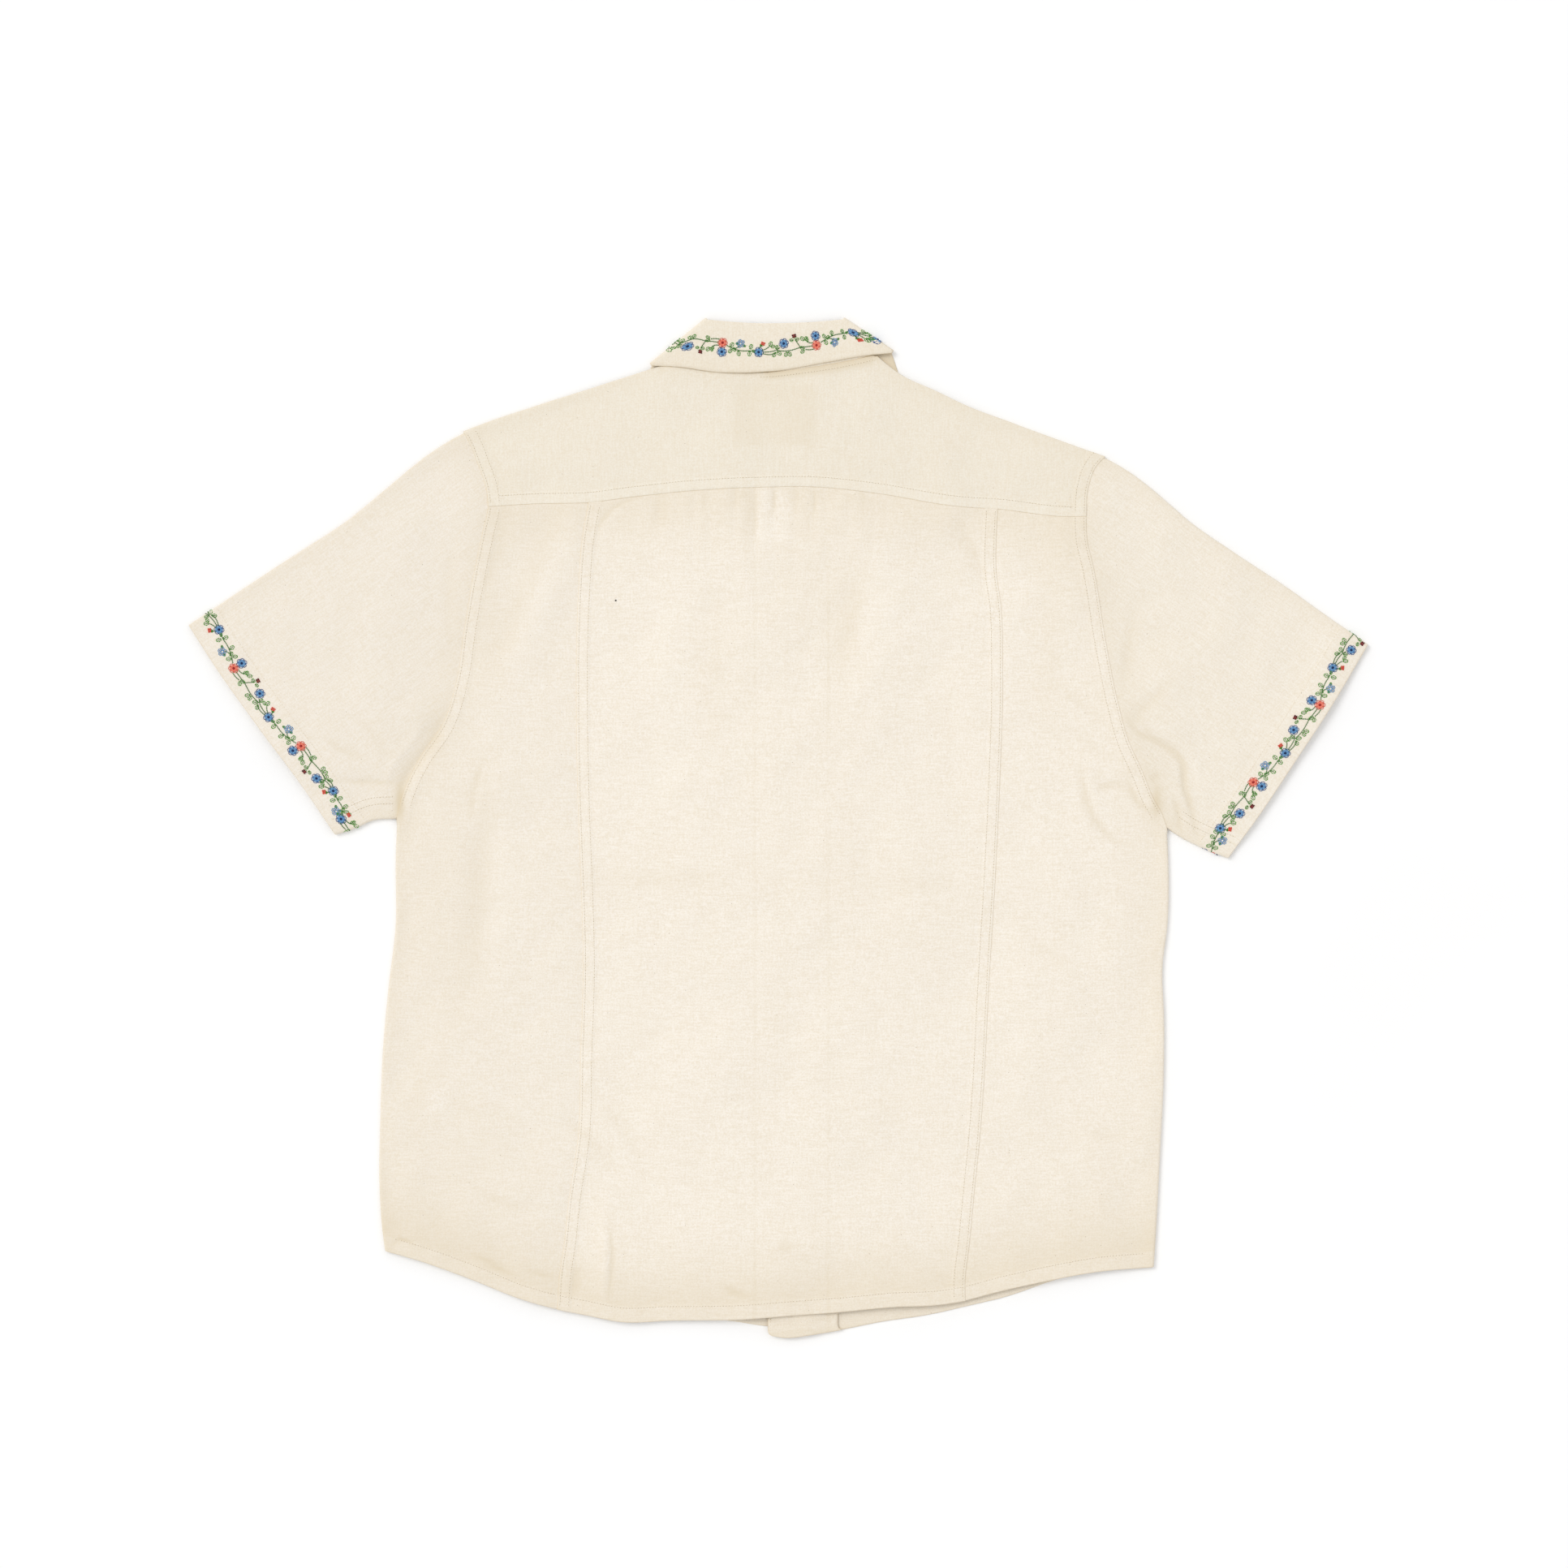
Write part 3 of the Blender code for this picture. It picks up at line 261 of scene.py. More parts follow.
class Line:
    """A smooth line through points in a plane, read by its share of the whole length."""

    def __init__(self, points, pieces=120):
        self.points = np.array(points, float)
        before = travelled(self.points)
        self.length = before[-1]
        self.knots = before / self.length
        self.slopes = np.gradient(self.points, self.knots, axis=0)
        self.places = self.at(np.linspace(0, 1, pieces + 1))
        self.runs = np.diff(self.places, axis=0)
        self.before = travelled(self.places)

    def at(self, shares):
        shares = np.asarray(shares, float)
        k = np.clip(np.searchsorted(self.knots, shares, side="right") - 1, 0, len(self.knots) - 2)
        span = (self.knots[k + 1] - self.knots[k])[..., None]
        t = (shares - self.knots[k])[..., None] / span
        start = (1 + 2 * t) * (1 - t) ** 2 * self.points[k]
        end = t * t * (3 - 2 * t) * self.points[k + 1]
        bend = t * (1 - t) ** 2 * self.slopes[k] - t * t * (1 - t) * self.slopes[k + 1]
        return start + end + bend * span

    def share_near(self, point):
        shares = np.linspace(0, 1, 2001)
        return float(shares[np.linalg.norm(self.at(shares) - point, axis=1).argmin()])

    def measure(self, x, y):
        """Distance to the line, and how far along it the nearest place is."""
        flat = np.column_stack([np.ravel(x), np.ravel(y)])
        lengths = np.linalg.norm(self.runs, axis=1)
        found = []
        for first in range(0, len(flat), 8000):
            some = flat[first:first + 8000, None, :] - self.places[None, :-1, :]
            share = np.clip((some * self.runs).sum(-1) / lengths**2, 0, 1)
            gap = np.linalg.norm(some - share[..., None] * self.runs, axis=-1)
            nearest = gap.argmin(axis=1)
            row = np.arange(len(nearest))
            along = self.before[nearest] + share[row, nearest] * lengths[nearest]
            found.append((gap[row, nearest], along))
        return [np.concatenate(part).reshape(np.shape(x)) for part in zip(*found)]


def height_of(name):
    """A function that gives a line's y for an x."""
    places = LINE[name].at(np.linspace(0, 1, 241))
    return lambda x: np.interp(x, places[:, 0], places[:, 1])


def ease(value):
    """Goes smoothly from 0 to 1 as the value does."""
    value = np.clip(value, 0, 1)
    return value * value * (3 - 2 * value)


def bell(away, width):
    """1 at a line, falling to 0 beside it."""
    return np.exp(-((away / width) ** 2))


LINE = {name: Line(points) for name, points in OUTLINE.items()}
YOKE_SHARE = {
    "left": LINE["armhole_left"].share_near(OUTLINE["yoke"][0]),
    "right": LINE["armhole_right"].share_near(OUTLINE["yoke"][-1]),
}
yoke_seam_y = height_of("yoke")
hem_y = height_of("hem")
shoulder_left_y = height_of("shoulder_left")
shoulder_right_y = height_of("shoulder_right")
neck_y = height_of("neck")
front_hem_y = {side: height_of("front_hem_" + side) for side in SIDES}
NECK_LEFT_X = OUTLINE["neck"][0][0]
NECK_RIGHT_X = OUTLINE["neck"][-1][0]


def yoke_top_y(x):
    sides = np.where(x < NECK_LEFT_X, shoulder_left_y(x), shoulder_right_y(x))
    return np.where((x >= NECK_LEFT_X) & (x <= NECK_RIGHT_X), neck_y(x), sides)


def folded_edges():
    """Short straight pieces along every edge where the shirt lies thin."""
    names = [part + side for part in ("side_", "underarm_", "overarm_", "shoulder_") for side in SIDES]
    edges = [OUTLINE[name] for name in names + ["neck"]]
    starts = [point for edge in edges for point in edge[:-1]]
    ends = [point for edge in edges for point in edge[1:]]
    return np.array(starts, float), np.array(ends, float)


EDGE_STARTS, EDGE_ENDS = folded_edges()


def edge_distance(x, y):
    """How far a place is from the nearest folded edge."""
    place = np.stack([np.asarray(x, float), np.asarray(y, float)], axis=-1)[..., None, :]
    run = EDGE_ENDS - EDGE_STARTS
    share = ((place - EDGE_STARTS) * run).sum(-1) / (run * run).sum(-1)
    nearest = EDGE_STARTS + np.clip(share, 0, 1)[..., None] * run
    return np.linalg.norm(place - nearest, axis=-1).min(-1)


def fold_height(x, y):
    """Ridges and troughs of the largest folds."""
    total = 0
    for x0, y0, x1, y1, width, height in FOLDS:
        run_x = x1 - x0
        run_y = y1 - y0
        length = math.hypot(run_x, run_y)
        share = ((x - x0) * run_x + (y - y0) * run_y) / length**2
        away = ((x - x0) * run_y - (y - y0) * run_x) / length
        fade = ease((share + 0.25) / 0.4) * ease((1.25 - share) / 0.4)
        total = total + height * fade * bell(away, width)
    return total


def gather_height(x, y):
    """Narrow creases that run down from the yoke seam and fade out."""
    total = 0
    below = yoke_seam_y(x) - y
    for gather_x, length, depth in GATHERS:
        fade = bell(np.maximum(below, 0), length) * (below > -1)
        total = total - depth * bell(x - gather_x, GATHER_WIDTH) * fade
    return total


def top_height(x, y):
    """Height of the middle of the upper cloth over the table."""
    rise = 1 - bell(edge_distance(x, y), CROWN_REACH)
    near_hem = ease((y - hem_y(x)) / HEM_FALL)
    keep = HEM_CROWN_SHARE + (1 - HEM_CROWN_SHARE) * near_hem
    crown = (BODY_CROWN + PLACKET_CROWN * bell(x - BUTTON_X, PLACKET_CROWN_REACH)) * rise * keep
    return EDGE_TOP + crown + (fold_height(x, y) + gather_height(x, y)) * rise


def button_lift(x, y):
    """The fronts rise over the row of buttons between them and the table."""
    across = np.clip((LIFT_FOOT - np.abs(x - BUTTON_X)) / (LIFT_FOOT - LIFT_TOP), 0, 1)
    above = (FIRST_BUTTON_Y + LIFT_MARGIN + LIFT_RUN - y) / LIFT_RUN
    below = (y - LAST_BUTTON_Y + LIFT_MARGIN + LIFT_RUN) / LIFT_RUN
    return BUTTON_LIFT * across * np.clip(above, 0, 1) * np.clip(below, 0, 1)


def neck_cover(x, y):
    """One layer where the collar and lapels lie between the fronts and the table."""
    across = np.clip((NECK_COVER_X + NECK_COVER_FADE_X - np.abs(x)) / NECK_COVER_FADE_X, 0, 1)
    along = np.clip((y - NECK_COVER_Y + NECK_COVER_FADE_Y) / NECK_COVER_FADE_Y, 0, 1)
    return LAYER * across * along


def under_height(x, y):
    """Height of the middle of the lower cloth, which rests on the table."""
    return FLOOR + np.maximum(button_lift(x, y), neck_cover(x, y))


def right_front_height(x, y):
    """The right front lies on the left one where they overlap."""
    over = np.clip((OVERLAP_FOOT - x) / (OVERLAP_FOOT - OVERLAP_FLAT), 0, 1)
    return under_height(x, y) + OVERLAP_RISE * over


FRONT_HEIGHT = {"left": under_height, "right": right_front_height}


def panel_row(left, right, across, down, top_y, bottom_y, corners):
    """One row of a panel between its edge points, bent to its top and bottom seams.

    The corners are the panel's four corners: top left, top right, bottom left, bottom right.
    """

    def bend(first, last, seam_y):
        chord = first[1] + across * (last[1] - first[1])
        return seam_y(first[0] + across * (last[0] - first[0])) - chord

    row = left + across[:, None] * (right - left)
    bends = (1 - down) * bend(*corners[:2], top_y) + down * bend(*corners[2:], bottom_y)
    return np.column_stack([row[:, 0], row[:, 1] + bends])


def raised(plan, height, rise=0):
    """A grid of plan points lifted to a height."""
    plan = np.array(plan)
    return np.dstack([plan, height(plan[..., 0], plan[..., 1]) + rise])


# Creases too small for the solids: half width, height, then x, y of the points along each
CREASES = (
    (2.2, -0.55, -107, 252, -121, 246, -131, 238, -136.5, 229, -137.5, 222),
    (3, 0.35, -112, 250, -126, 240, -133, 228, -133.5, 214), (6, -0.5, -92, 256, -89, 243, -93, 228),
    (1.7, -0.22, -57, 258.5, -56, 249, -58.5, 237), (1.5, -0.25, -33.5, 259.5, -32, 252, -33, 243),
    (4.4, -0.32, -24, 260, -22, 240, -22.5, 212), (1.4, -0.3, -18.2, 260, -17.6, 241, -18.6, 214),
    (4, 0.35, -12, 259, -11.5, 240, -12.5, 208), (1.3, -0.45, -3.4, 260, -3, 250, -3.4, 240),
    (1.6, -0.18, 13.5, 260, 14, 250, 13, 241), (1.3, -0.45, 26.8, 260, 27.8, 248, 27, 236),
    (1.8, -0.2, 63, 256.5, 65, 247, 65.5, 238), (9, -0.5, -167, 244, -184, 203, -203, 156, -224, 104),
    (8, 0.25, -152, 240, -168, 202, -186, 158, -206, 112),
    (11, -0.45, -240, 74, -224, 40, -227, -40, -236, -110, -252, -160),
    (9, 0.3, -214, 30, -212, -40, -220, -110), (9, -0.45, 64, 208, 56, 160, 44, 112),
    (12, 0.4, 84, 205, 78, 160, 66, 110), (14, 0.35, -78, 180, -82, 100, -78, 0),
    (1.6, 0.55, -297, -310.6, -287, -311.2, -280, -313.7, -276.5, -318.7),
    (1.3, -0.7, -293.9, -318, -287, -314.6, -281.5, -316.8, -278.6, -320),
    (1.6, 0.45, -271, -327, -266, -327.6, -259.8, -324.5),
    (2.2, -0.5, -234, -325.5, -224, -330.5, -214, -336.7, -200, -342.9), (2, -0.4, -194, -338, -169, -344),
    (3, -0.45, -153, -334, -155, -346, -156, -358), (3.6, -0.4, 137, 234, 150, 210, 159, 185),
    (3.2, 0.35, 143, 232, 156, 208, 164, 186), (1.9, -0.5, -226, 50, -233, 31, -236, 7),
    (3.6, -0.5, -229, -279, -210, -286, -191, -292), (3.4, -0.45, -160, -223, -142, -240, -123, -261),
    (3.4, -0.4, -136, -205, -118, -232, -98, -267), (2.6, -0.5, -43, -350, -31, -356, -20, -357),
    (2.4, 0.6, -133.5, -298, -131.5, -326, -134, -362), (2, -0.55, -129, -300, -127, -328, -129.5, -360),
    (2.6, -0.7, 230, 49, 233, 28, 240, 8, 252, -6, 264, -13),
    (2.4, 0.45, 236, 52, 239, 31, 246, 12, 257, -1), (2.2, -0.5, 240, 22, 247, 30, 257, 33, 266, 29),
    (2.2, -0.55, 268, 42, 268.5, 31, 273, 21, 279, 15.5, 288, 10.5),
    (3.2, -0.45, 217, 105, 236, 90, 255, 74), (3.4, -0.4, 222, 75, 240, 62, 256, 50),
    (4, -0.9, -255, 88, -261, 70, -273, 53, -284, 38, -291, 10),
    (3.4, 0.5, -268, 84, -280, 65, -294, 48, -302, 24), (2, -0.55, -334, 35, -310, 34.5, -286, 33),
    (4, -0.4, -322, 86, -305, 66, -296, 44), (3, -0.35, -350, 70, -331, 58, -314, 54),
    (2.5, -1, 266, 84, 273, 73, 291, 65, 309, 48, 310, 32, 315, 16, 321, -8),
    (3, 0.5, 280, 84, 299, 70, 319, 52, 321, 34, 326, 16), (3.8, -0.6, 300, 112, 284, 96, 273, 84, 268, 72),
    (2, -0.5, 283, 34, 287, 38, 292, 41.5), (2.2, -0.4, 301, 26, 306, 8, 308, -4),
    (4.4, -0.5, 273, 173, 268, 140, 264, 105), (4, -0.35, -246, 232, -252, 190, -250, 130),
    (5, -0.3, -205, 238, -212, 214, -228, 176), (4.2, 0.3, 118, -330, 100, -300, 96, -262),
    (4.6, -0.3, 178, -60, 200, -92, 226, -110), (4.6, -0.3, -262, -200, -240, -216, -214, -222),
    (4, -0.3, 214, -228, 246, -236, 276, -232),
)

# Soft unevenness of the whole cloth: how many waves, their lengths and their height
WAVE_SEED = 5
WAVE_COUNT = 34
WAVE_LENGTHS = (26, 150)
WAVE_HEIGHT = 0.055
# The gathers of the solids are deeper than the cloth's own
GATHER_SHARE = 0.4


def pucker(away, along, phase):
    """The small uneven waves that a sewn seam draws into the cloth."""
    wave = np.sin(along / 2.3 + phase + 1.9 * np.sin(along / 21 + 2 * phase))
    strength = 0.55 + 0.45 * np.sin(along / 37 + 3 * phase)
    return PUCKER * wave * strength * bell(away, PUCKER_REACH)


# Where the small waves along a seam begin
PHASE = {
    name: 1 if name.startswith("front") else 0.7 * number for number, name in enumerate(OUTLINE)
}
CREASE_LINES = [
    (width, height, Line(np.array(points).reshape(-1, 2), 24)) for width, height, *points in CREASES
]


def crease_height(x, y, widest=100):
    """Ridges and troughs of the creases up to a width, which fade out at their ends."""
    total = np.zeros(x.shape)
    for width, height, line in CREASE_LINES:
        low = line.places.min(axis=0) - 4 * width
        high = line.places.max(axis=0) + 4 * width
        near = (x > low[0]) & (x < high[0]) & (y > low[1]) & (y < high[1])
        if width > widest or not near.any():
            continue
        away, along = line.measure(x[near], y[near])
        length = line.before[-1]
        fade = ease(along / (0.35 * length)) * ease((length - along) / (0.35 * length))
        total[near] += height * (0.25 + 0.75 * fade) * bell(away, width)
    return total


def relief(x, y, under, over):
    """Relief of the seams that cloth is tucked under, and of those whose bands lie on it."""
    total = 0
    for name in under + over:
        away, along = LINE[name].measure(x, y)
        total = total + pucker(away, along, PHASE[name])
        if name in under:
            total = total - TUCK_DEPTH * bell(away, TUCK_REACH)
            continue
        width, rows, rise = BAND[name.removesuffix("_left").removesuffix("_right")]
        total = total + rise * (1 - ease((away - width) / BAND_SOFT))
        for row in rows:
            total = total - GROOVE_DEPTH * bell(away - row, GROOVE_WIDTH)
    return total


def waves():
    """Directions, lengths, phases and heights of the waves of the uneven cloth."""
    chance = np.random.default_rng(WAVE_SEED)
    angles = chance.uniform(0, math.pi, WAVE_COUNT)
    lengths = np.geomspace(*WAVE_LENGTHS, WAVE_COUNT)
    phases = chance.uniform(0, 2 * math.pi, WAVE_COUNT)
    heights = WAVE_HEIGHT * (lengths / WAVE_LENGTHS[0]) ** 0.85
    return list(zip(angles, lengths, phases, heights))


WAVES = waves()


def crumple(x, y):
    """Soft unevenness all over."""
    bent_x = x + 9 * np.sin(y / 43) + 4 * np.sin(y / 17 + 1)
    bent_y = y + 9 * np.sin(x / 51 + 2) + 4 * np.sin(x / 19)
    total = np.zeros(np.shape(x))
    for angle, length, phase, height in WAVES:
        run = bent_x * math.cos(angle) + bent_y * math.sin(angle)
        total = total + height * np.sin(2 * math.pi * run / length + phase)
    rows = np.sin(bent_y / 2.1 + 1.5 * np.sin(x / 33)) * np.sin(x / 26 + y / 30)
    return total + 0.09 * rows * np.exp(-(((y + 190) / 110) ** 2))


def upper_cloth(x, y):
    """Middle of the upper cloth with its creases, before its seams."""
    inward = edge_distance(x, y)
    creases = crease_height(x, y) * (1 - bell(inward, 3.5))
    spare = (1 - GATHER_SHARE) * gather_height(x, y)
    return top_height(x, y) - spare + crumple(x, y) * (1 - bell(inward, 7)) + creases


def centre_height(x, y):
    return upper_cloth(x, y) + relief(x, y, ["yoke"], ["princess_left", "princess_right", "hem"])


def side_height(side):
    under = ["yoke", "princess_" + side]
    return lambda x, y: upper_cloth(x, y) + relief(x, y, under, ["armhole_" + side, "hem"])


def yoke_height(x, y):
    return upper_cloth(x, y) + relief(x, y, [], ["yoke", "neck", "armhole_left", "armhole_right"])


def sleeve_height(side):
    """The sleeve's height, with the ridge of its underarm seam."""

    def height(x, y):
        away, along = LINE["underarm_" + side].measure(x, y)
        total = upper_cloth(x, y) + relief(x, y, ["armhole_" + side], ["cuff_" + side])
        return total + 0.35 * bell(away - 14, 4) * ease(along / 12)

    return height


def joined(parts):
    """Points and faces of several parts as one mesh."""
    starts = np.cumsum([0] + [len(part[0]) for part in parts[:-1]])
    faces = np.concatenate([part[1] + start for part, start in zip(parts, starts)])
    return np.concatenate([part[0] for part in parts]), faces


def stepped(stops, end):
    """Places from the first stop to the end. Each stop is a place and the step that follows it."""
    following = [stop[0] for stop in stops[1:]] + [end]
    parts = []
    for (place, step), last in zip(stops, following):
        count = max(1, round((last - place) / step))
        parts.append(np.linspace(place, last, count, endpoint=False))
    return np.concatenate(parts + [[end]])


def grid_faces(rows, columns, ring=False):
    corner = np.arange(rows * columns).reshape(rows, columns)
    if ring:
        corner = np.concatenate([corner, corner[:, :1]], axis=1)
    around = [corner[:-1, :-1], corner[:-1, 1:], corner[1:, 1:], corner[1:, :-1]]
    return np.stack(around, axis=-1).reshape(-1, 4)


def welded(blocks):
    """Joins blocks of points and faces where their points meet."""
    points, faces = joined(blocks)
    _, first, number = np.unique(np.round(points, 3), axis=0, return_index=True, return_inverse=True)
    return points[first], number.reshape(-1)[faces]


def point_normals(points, faces):
    diagonal = points[faces[:, 2]] - points[faces[:, 0]]
    across = np.cross(diagonal, points[faces[:, 3]] - points[faces[:, 1]])
    total = np.zeros(points.shape)
    for corner in range(4):
        np.add.at(total, faces[:, corner], across)
    return unit(total)


def thickened(points, faces):
    """Points and faces of cloth about a surface of middle points, with rounded rims, and for each point its
    painted shade from the rim: full on a rim, a little beside it."""
    count = len(points)
    normals = point_normals(points, faces)
    edges = np.concatenate([faces[:, [k, (k + 1) % 4]] for k in range(4)])
    other_way = edges[:, 1] * count + edges[:, 0]
    rim = edges[~np.isin(edges[:, 0] * count + edges[:, 1], other_way)]
    used, place = np.unique(rim, return_inverse=True)
    place = place.reshape(rim.shape)
    outward = np.zeros((len(used), 3))
    sideways = np.cross(points[rim[:, 1]] - points[rim[:, 0]], normals[rim[:, 0]])
    for end in range(2):
        np.add.at(outward, place[:, end], sideways)
    outer = points + normals * WALL / 2
    inner = points - normals * WALL / 2
    edge = points[used] + unit(outward) * WALL * 0.4
    first, second = (place + 2 * count).T
    upper_rim = np.column_stack([rim[:, 1], rim[:, 0], first, second])
    lower_rim = np.column_stack([rim[:, 0] + count, rim[:, 1] + count, second, first])
    faces = np.concatenate([faces, faces[:, ::-1] + count, upper_rim, lower_rim])
    # Painted shade along the rims: full on the rim points, a little on the points beside them
    rim_shade = np.zeros(2 * count + len(used))
    rim_shade[2 * count:] = 1
    rim_shade[used] = rim_shade[used + count] = 0.2
    return np.concatenate([outer, inner, edge]), faces, rim_shade


def link_object(name, data):
    item = bpy.data.objects.new(name, data)
    bpy.context.scene.collection.objects.link(item)
    return item


def add_mesh(name, points, faces, materials):
    mesh = bpy.data.meshes.new(name)
    mesh.from_pydata((np.asarray(points) * MM).tolist(), [], [list(face) for face in faces])
    mesh.polygons.foreach_set("use_smooth", [True] * len(mesh.polygons))
    for material in materials:
        mesh.materials.append(material)
    return link_object(name, mesh)


def soft_spot(x, y, middle_x, middle_y, half_x, half_y, soft):
    """1 inside a rectangle, falling to 0 round it."""
    across = ease((half_x + soft - np.abs(x - middle_x)) / soft)
    along = ease((half_y + soft - np.abs(y - middle_y)) / soft)
    return across * along


def away_from(seam, x, y):
    return LINE[seam].measure(x, y)[0]


def upper_shade(x, y, pale_bands):
    """Shade that only the upper cloth has: darker round the armholes, painted shade of its broad folds and
    creases, beside the placket and over the lowest button, the labels beneath it, and its paler double
    seams.
    """
    shade = 0
    for side in SIDES:
        shade = shade + 0.14 * bell(away_from("armhole_" + side, x, y), 16)
    for seam in pale_bands:
        shade = shade - 0.08 * ease((9.2 - away_from(seam, x, y)) / 1.2)
    for middle_x, middle_y, half_x, half_y, strength in SHADE_SPOTS:
        shade = shade + strength * bell(x - middle_x, half_x) * bell(y - middle_y, half_y)
    label = soft_spot(x, y, *LABEL) * (1 - 0.35 * soft_spot(x, y, *LABEL_FOLD))
    patch = soft_spot(x, y, *PATCH) * (0.85 + 0.15 * np.sin(x / 2.2))
    shade = shade + 0.26 * label - 0.2 * patch - 0.13 * soft_spot(x, y, *CARE_LABEL)
    # Painted shade beside the placket's ridges, over the lowest button beneath the back, and in the
    # creases, stronger in narrow ones
    placket = (bell(x + 18, 1.1) + bell(x - 38, 1.1)) * ease((240 - y) / 60)
    button = np.exp(-((((x - BUTTON_X) ** 2 + (y - LAST_BUTTON_Y) ** 2) / 5.6**2) ** 3))
    crease_shade = np.clip(-crease_height(x, y) / 0.6, -0.3, 1.2)
    narrow_crease_shade = np.clip(-crease_height(x, y, 3) / 0.5, 0, 1)
    return shade + 0.22 * crease_shade + 0.18 * narrow_crease_shade + 0.16 * placket + 0.22 * button


# Places where the cloth is painted a little darker, as painted shade of broad folds and of the deep folds
# at the armpits: x, y, half width, half height, strength
SHADE_SPOTS = (
    (-266, -60, 40, 120, 0.13), (-250, -270, 75, 55, 0.1), (228, -275, 75, 60, 0.08),
    (286, -60, 24, 190, 0.1), (-222, 162, 15, 52, 0.13), (-52, 128, 22, 60, 0.08), (50, 158, 15, 42, 0.1),
    (-96, -40, 46, 7, 0.12), (106, -44, 34, 7, 0.1), (0, -40, 150, 14, 0.04), (16, 188, 30, 52, 0.08),
    (222, 200, 26, 50, 0.12), (-289, 18, 3.4, 13, 0.8), (289, 19, 4, 12, 0.7), (-262, 72, 11, 24, 0.12),
    (206, 125, 12, 55, 0.14), (-275, -205, 14, 26, 0.12),
)
# Soft rectangles in the shade: middle x, y, half width, half height, soft edge
LABEL = (-2.5, 315, 28, 19, 8)
LABEL_FOLD = (-5, 308, 6, 12, 7)
PATCH = (-3, 238, 9, 16, 8)
CARE_LABEL = (-260, -209, 7, 9, 5)
# The upper cloth lies above this height, the lower one below it
UPPER_Z = 2.2
# Seams whose upper cloth is double, and so paler
PALE_BANDS = {
    "back_side_left": ("armhole_left",), "back_side_right": ("armhole_right",),
    "yoke": ("yoke", "armhole_left", "armhole_right"),
}


def shade_of(name, points):
    """How much darker the cloth is painted: painted shade at its folded edges, towards the hem and under
    the collar's fall, darker just below the yoke seam, paler on the double hem band, and the upper cloth's
    own shade.
    """
    x, y, z = points.T
    hem_away = away_from("hem", x, y)
    # Painted shade along the folded edges and towards the hem; the double hem band is paler
    shade = 0.16 * bell(edge_distance(x, y), 10) + 0.54 * bell(hem_away, 40)
    shade = shade - 0.2 * ease((13 - hem_away) / 3)
    if name.startswith("back"):
        shade = shade + 0.3 * bell(away_from("yoke", x, y), 34)
    # Painted shade under the collar's fall: on the yoke's band by the neck seam, and on the collar's lower
    # layer at its right end
    if name == "yoke":
        shown = ease((x + 15) / 10) * ease((80 - x) / 6)
        shade = shade + 0.55 * shown * ease((NECK_BAND + 1 - away_from("neck", x, y)) / 1.5)
    if name == "collar":
        shade = shade + 0.8 * (z < COLLAR_MIDDLE + STAND_RADIUS + 0.6) * (x > 66)
    return shade + upper_shade(x, y, PALE_BANDS.get(name, ())) * (z > UPPER_Z)


def outer_face(grid, place, ring=False):
    """Points and normals of a cloth's outer face. At this place of the grid it looks up."""
    faces = grid_faces(*grid.shape[:2], ring)
    normals = point_normals(grid.reshape(-1, 3), faces).reshape(grid.shape)
    normals = normals * np.sign(normals[place][2])
    return grid + normals * WALL / 2, normals


def add_cloth(name, points, faces=None):
    """One cut piece of cloth that replaces its solid, on a grid of points or on faces."""
    if faces is None:
        faces = grid_faces(*points.shape[:2])
        points = points.reshape(-1, 3)
    points, faces, rim_shade = thickened(points, faces)
    item = add_mesh(name + "_cloth", points, faces, [CLOTH[name]])
    # The shade attribute carries painted shade and paler double seams, the rim attribute painted shade
    # along the rims
    for kind, values in (("shade", shade_of(name, points)), ("rim", rim_shade)):
        attribute = item.data.attributes.new(kind, "FLOAT", "POINT")
        attribute.data.foreach_set("value", np.asarray(values, np.float32))
    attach(item, "root")
    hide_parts(name)


# How far from the edge the embroidery's lengths are measured
VINE_ON_CUFF = 14
VINE_ON_COLLAR = 18


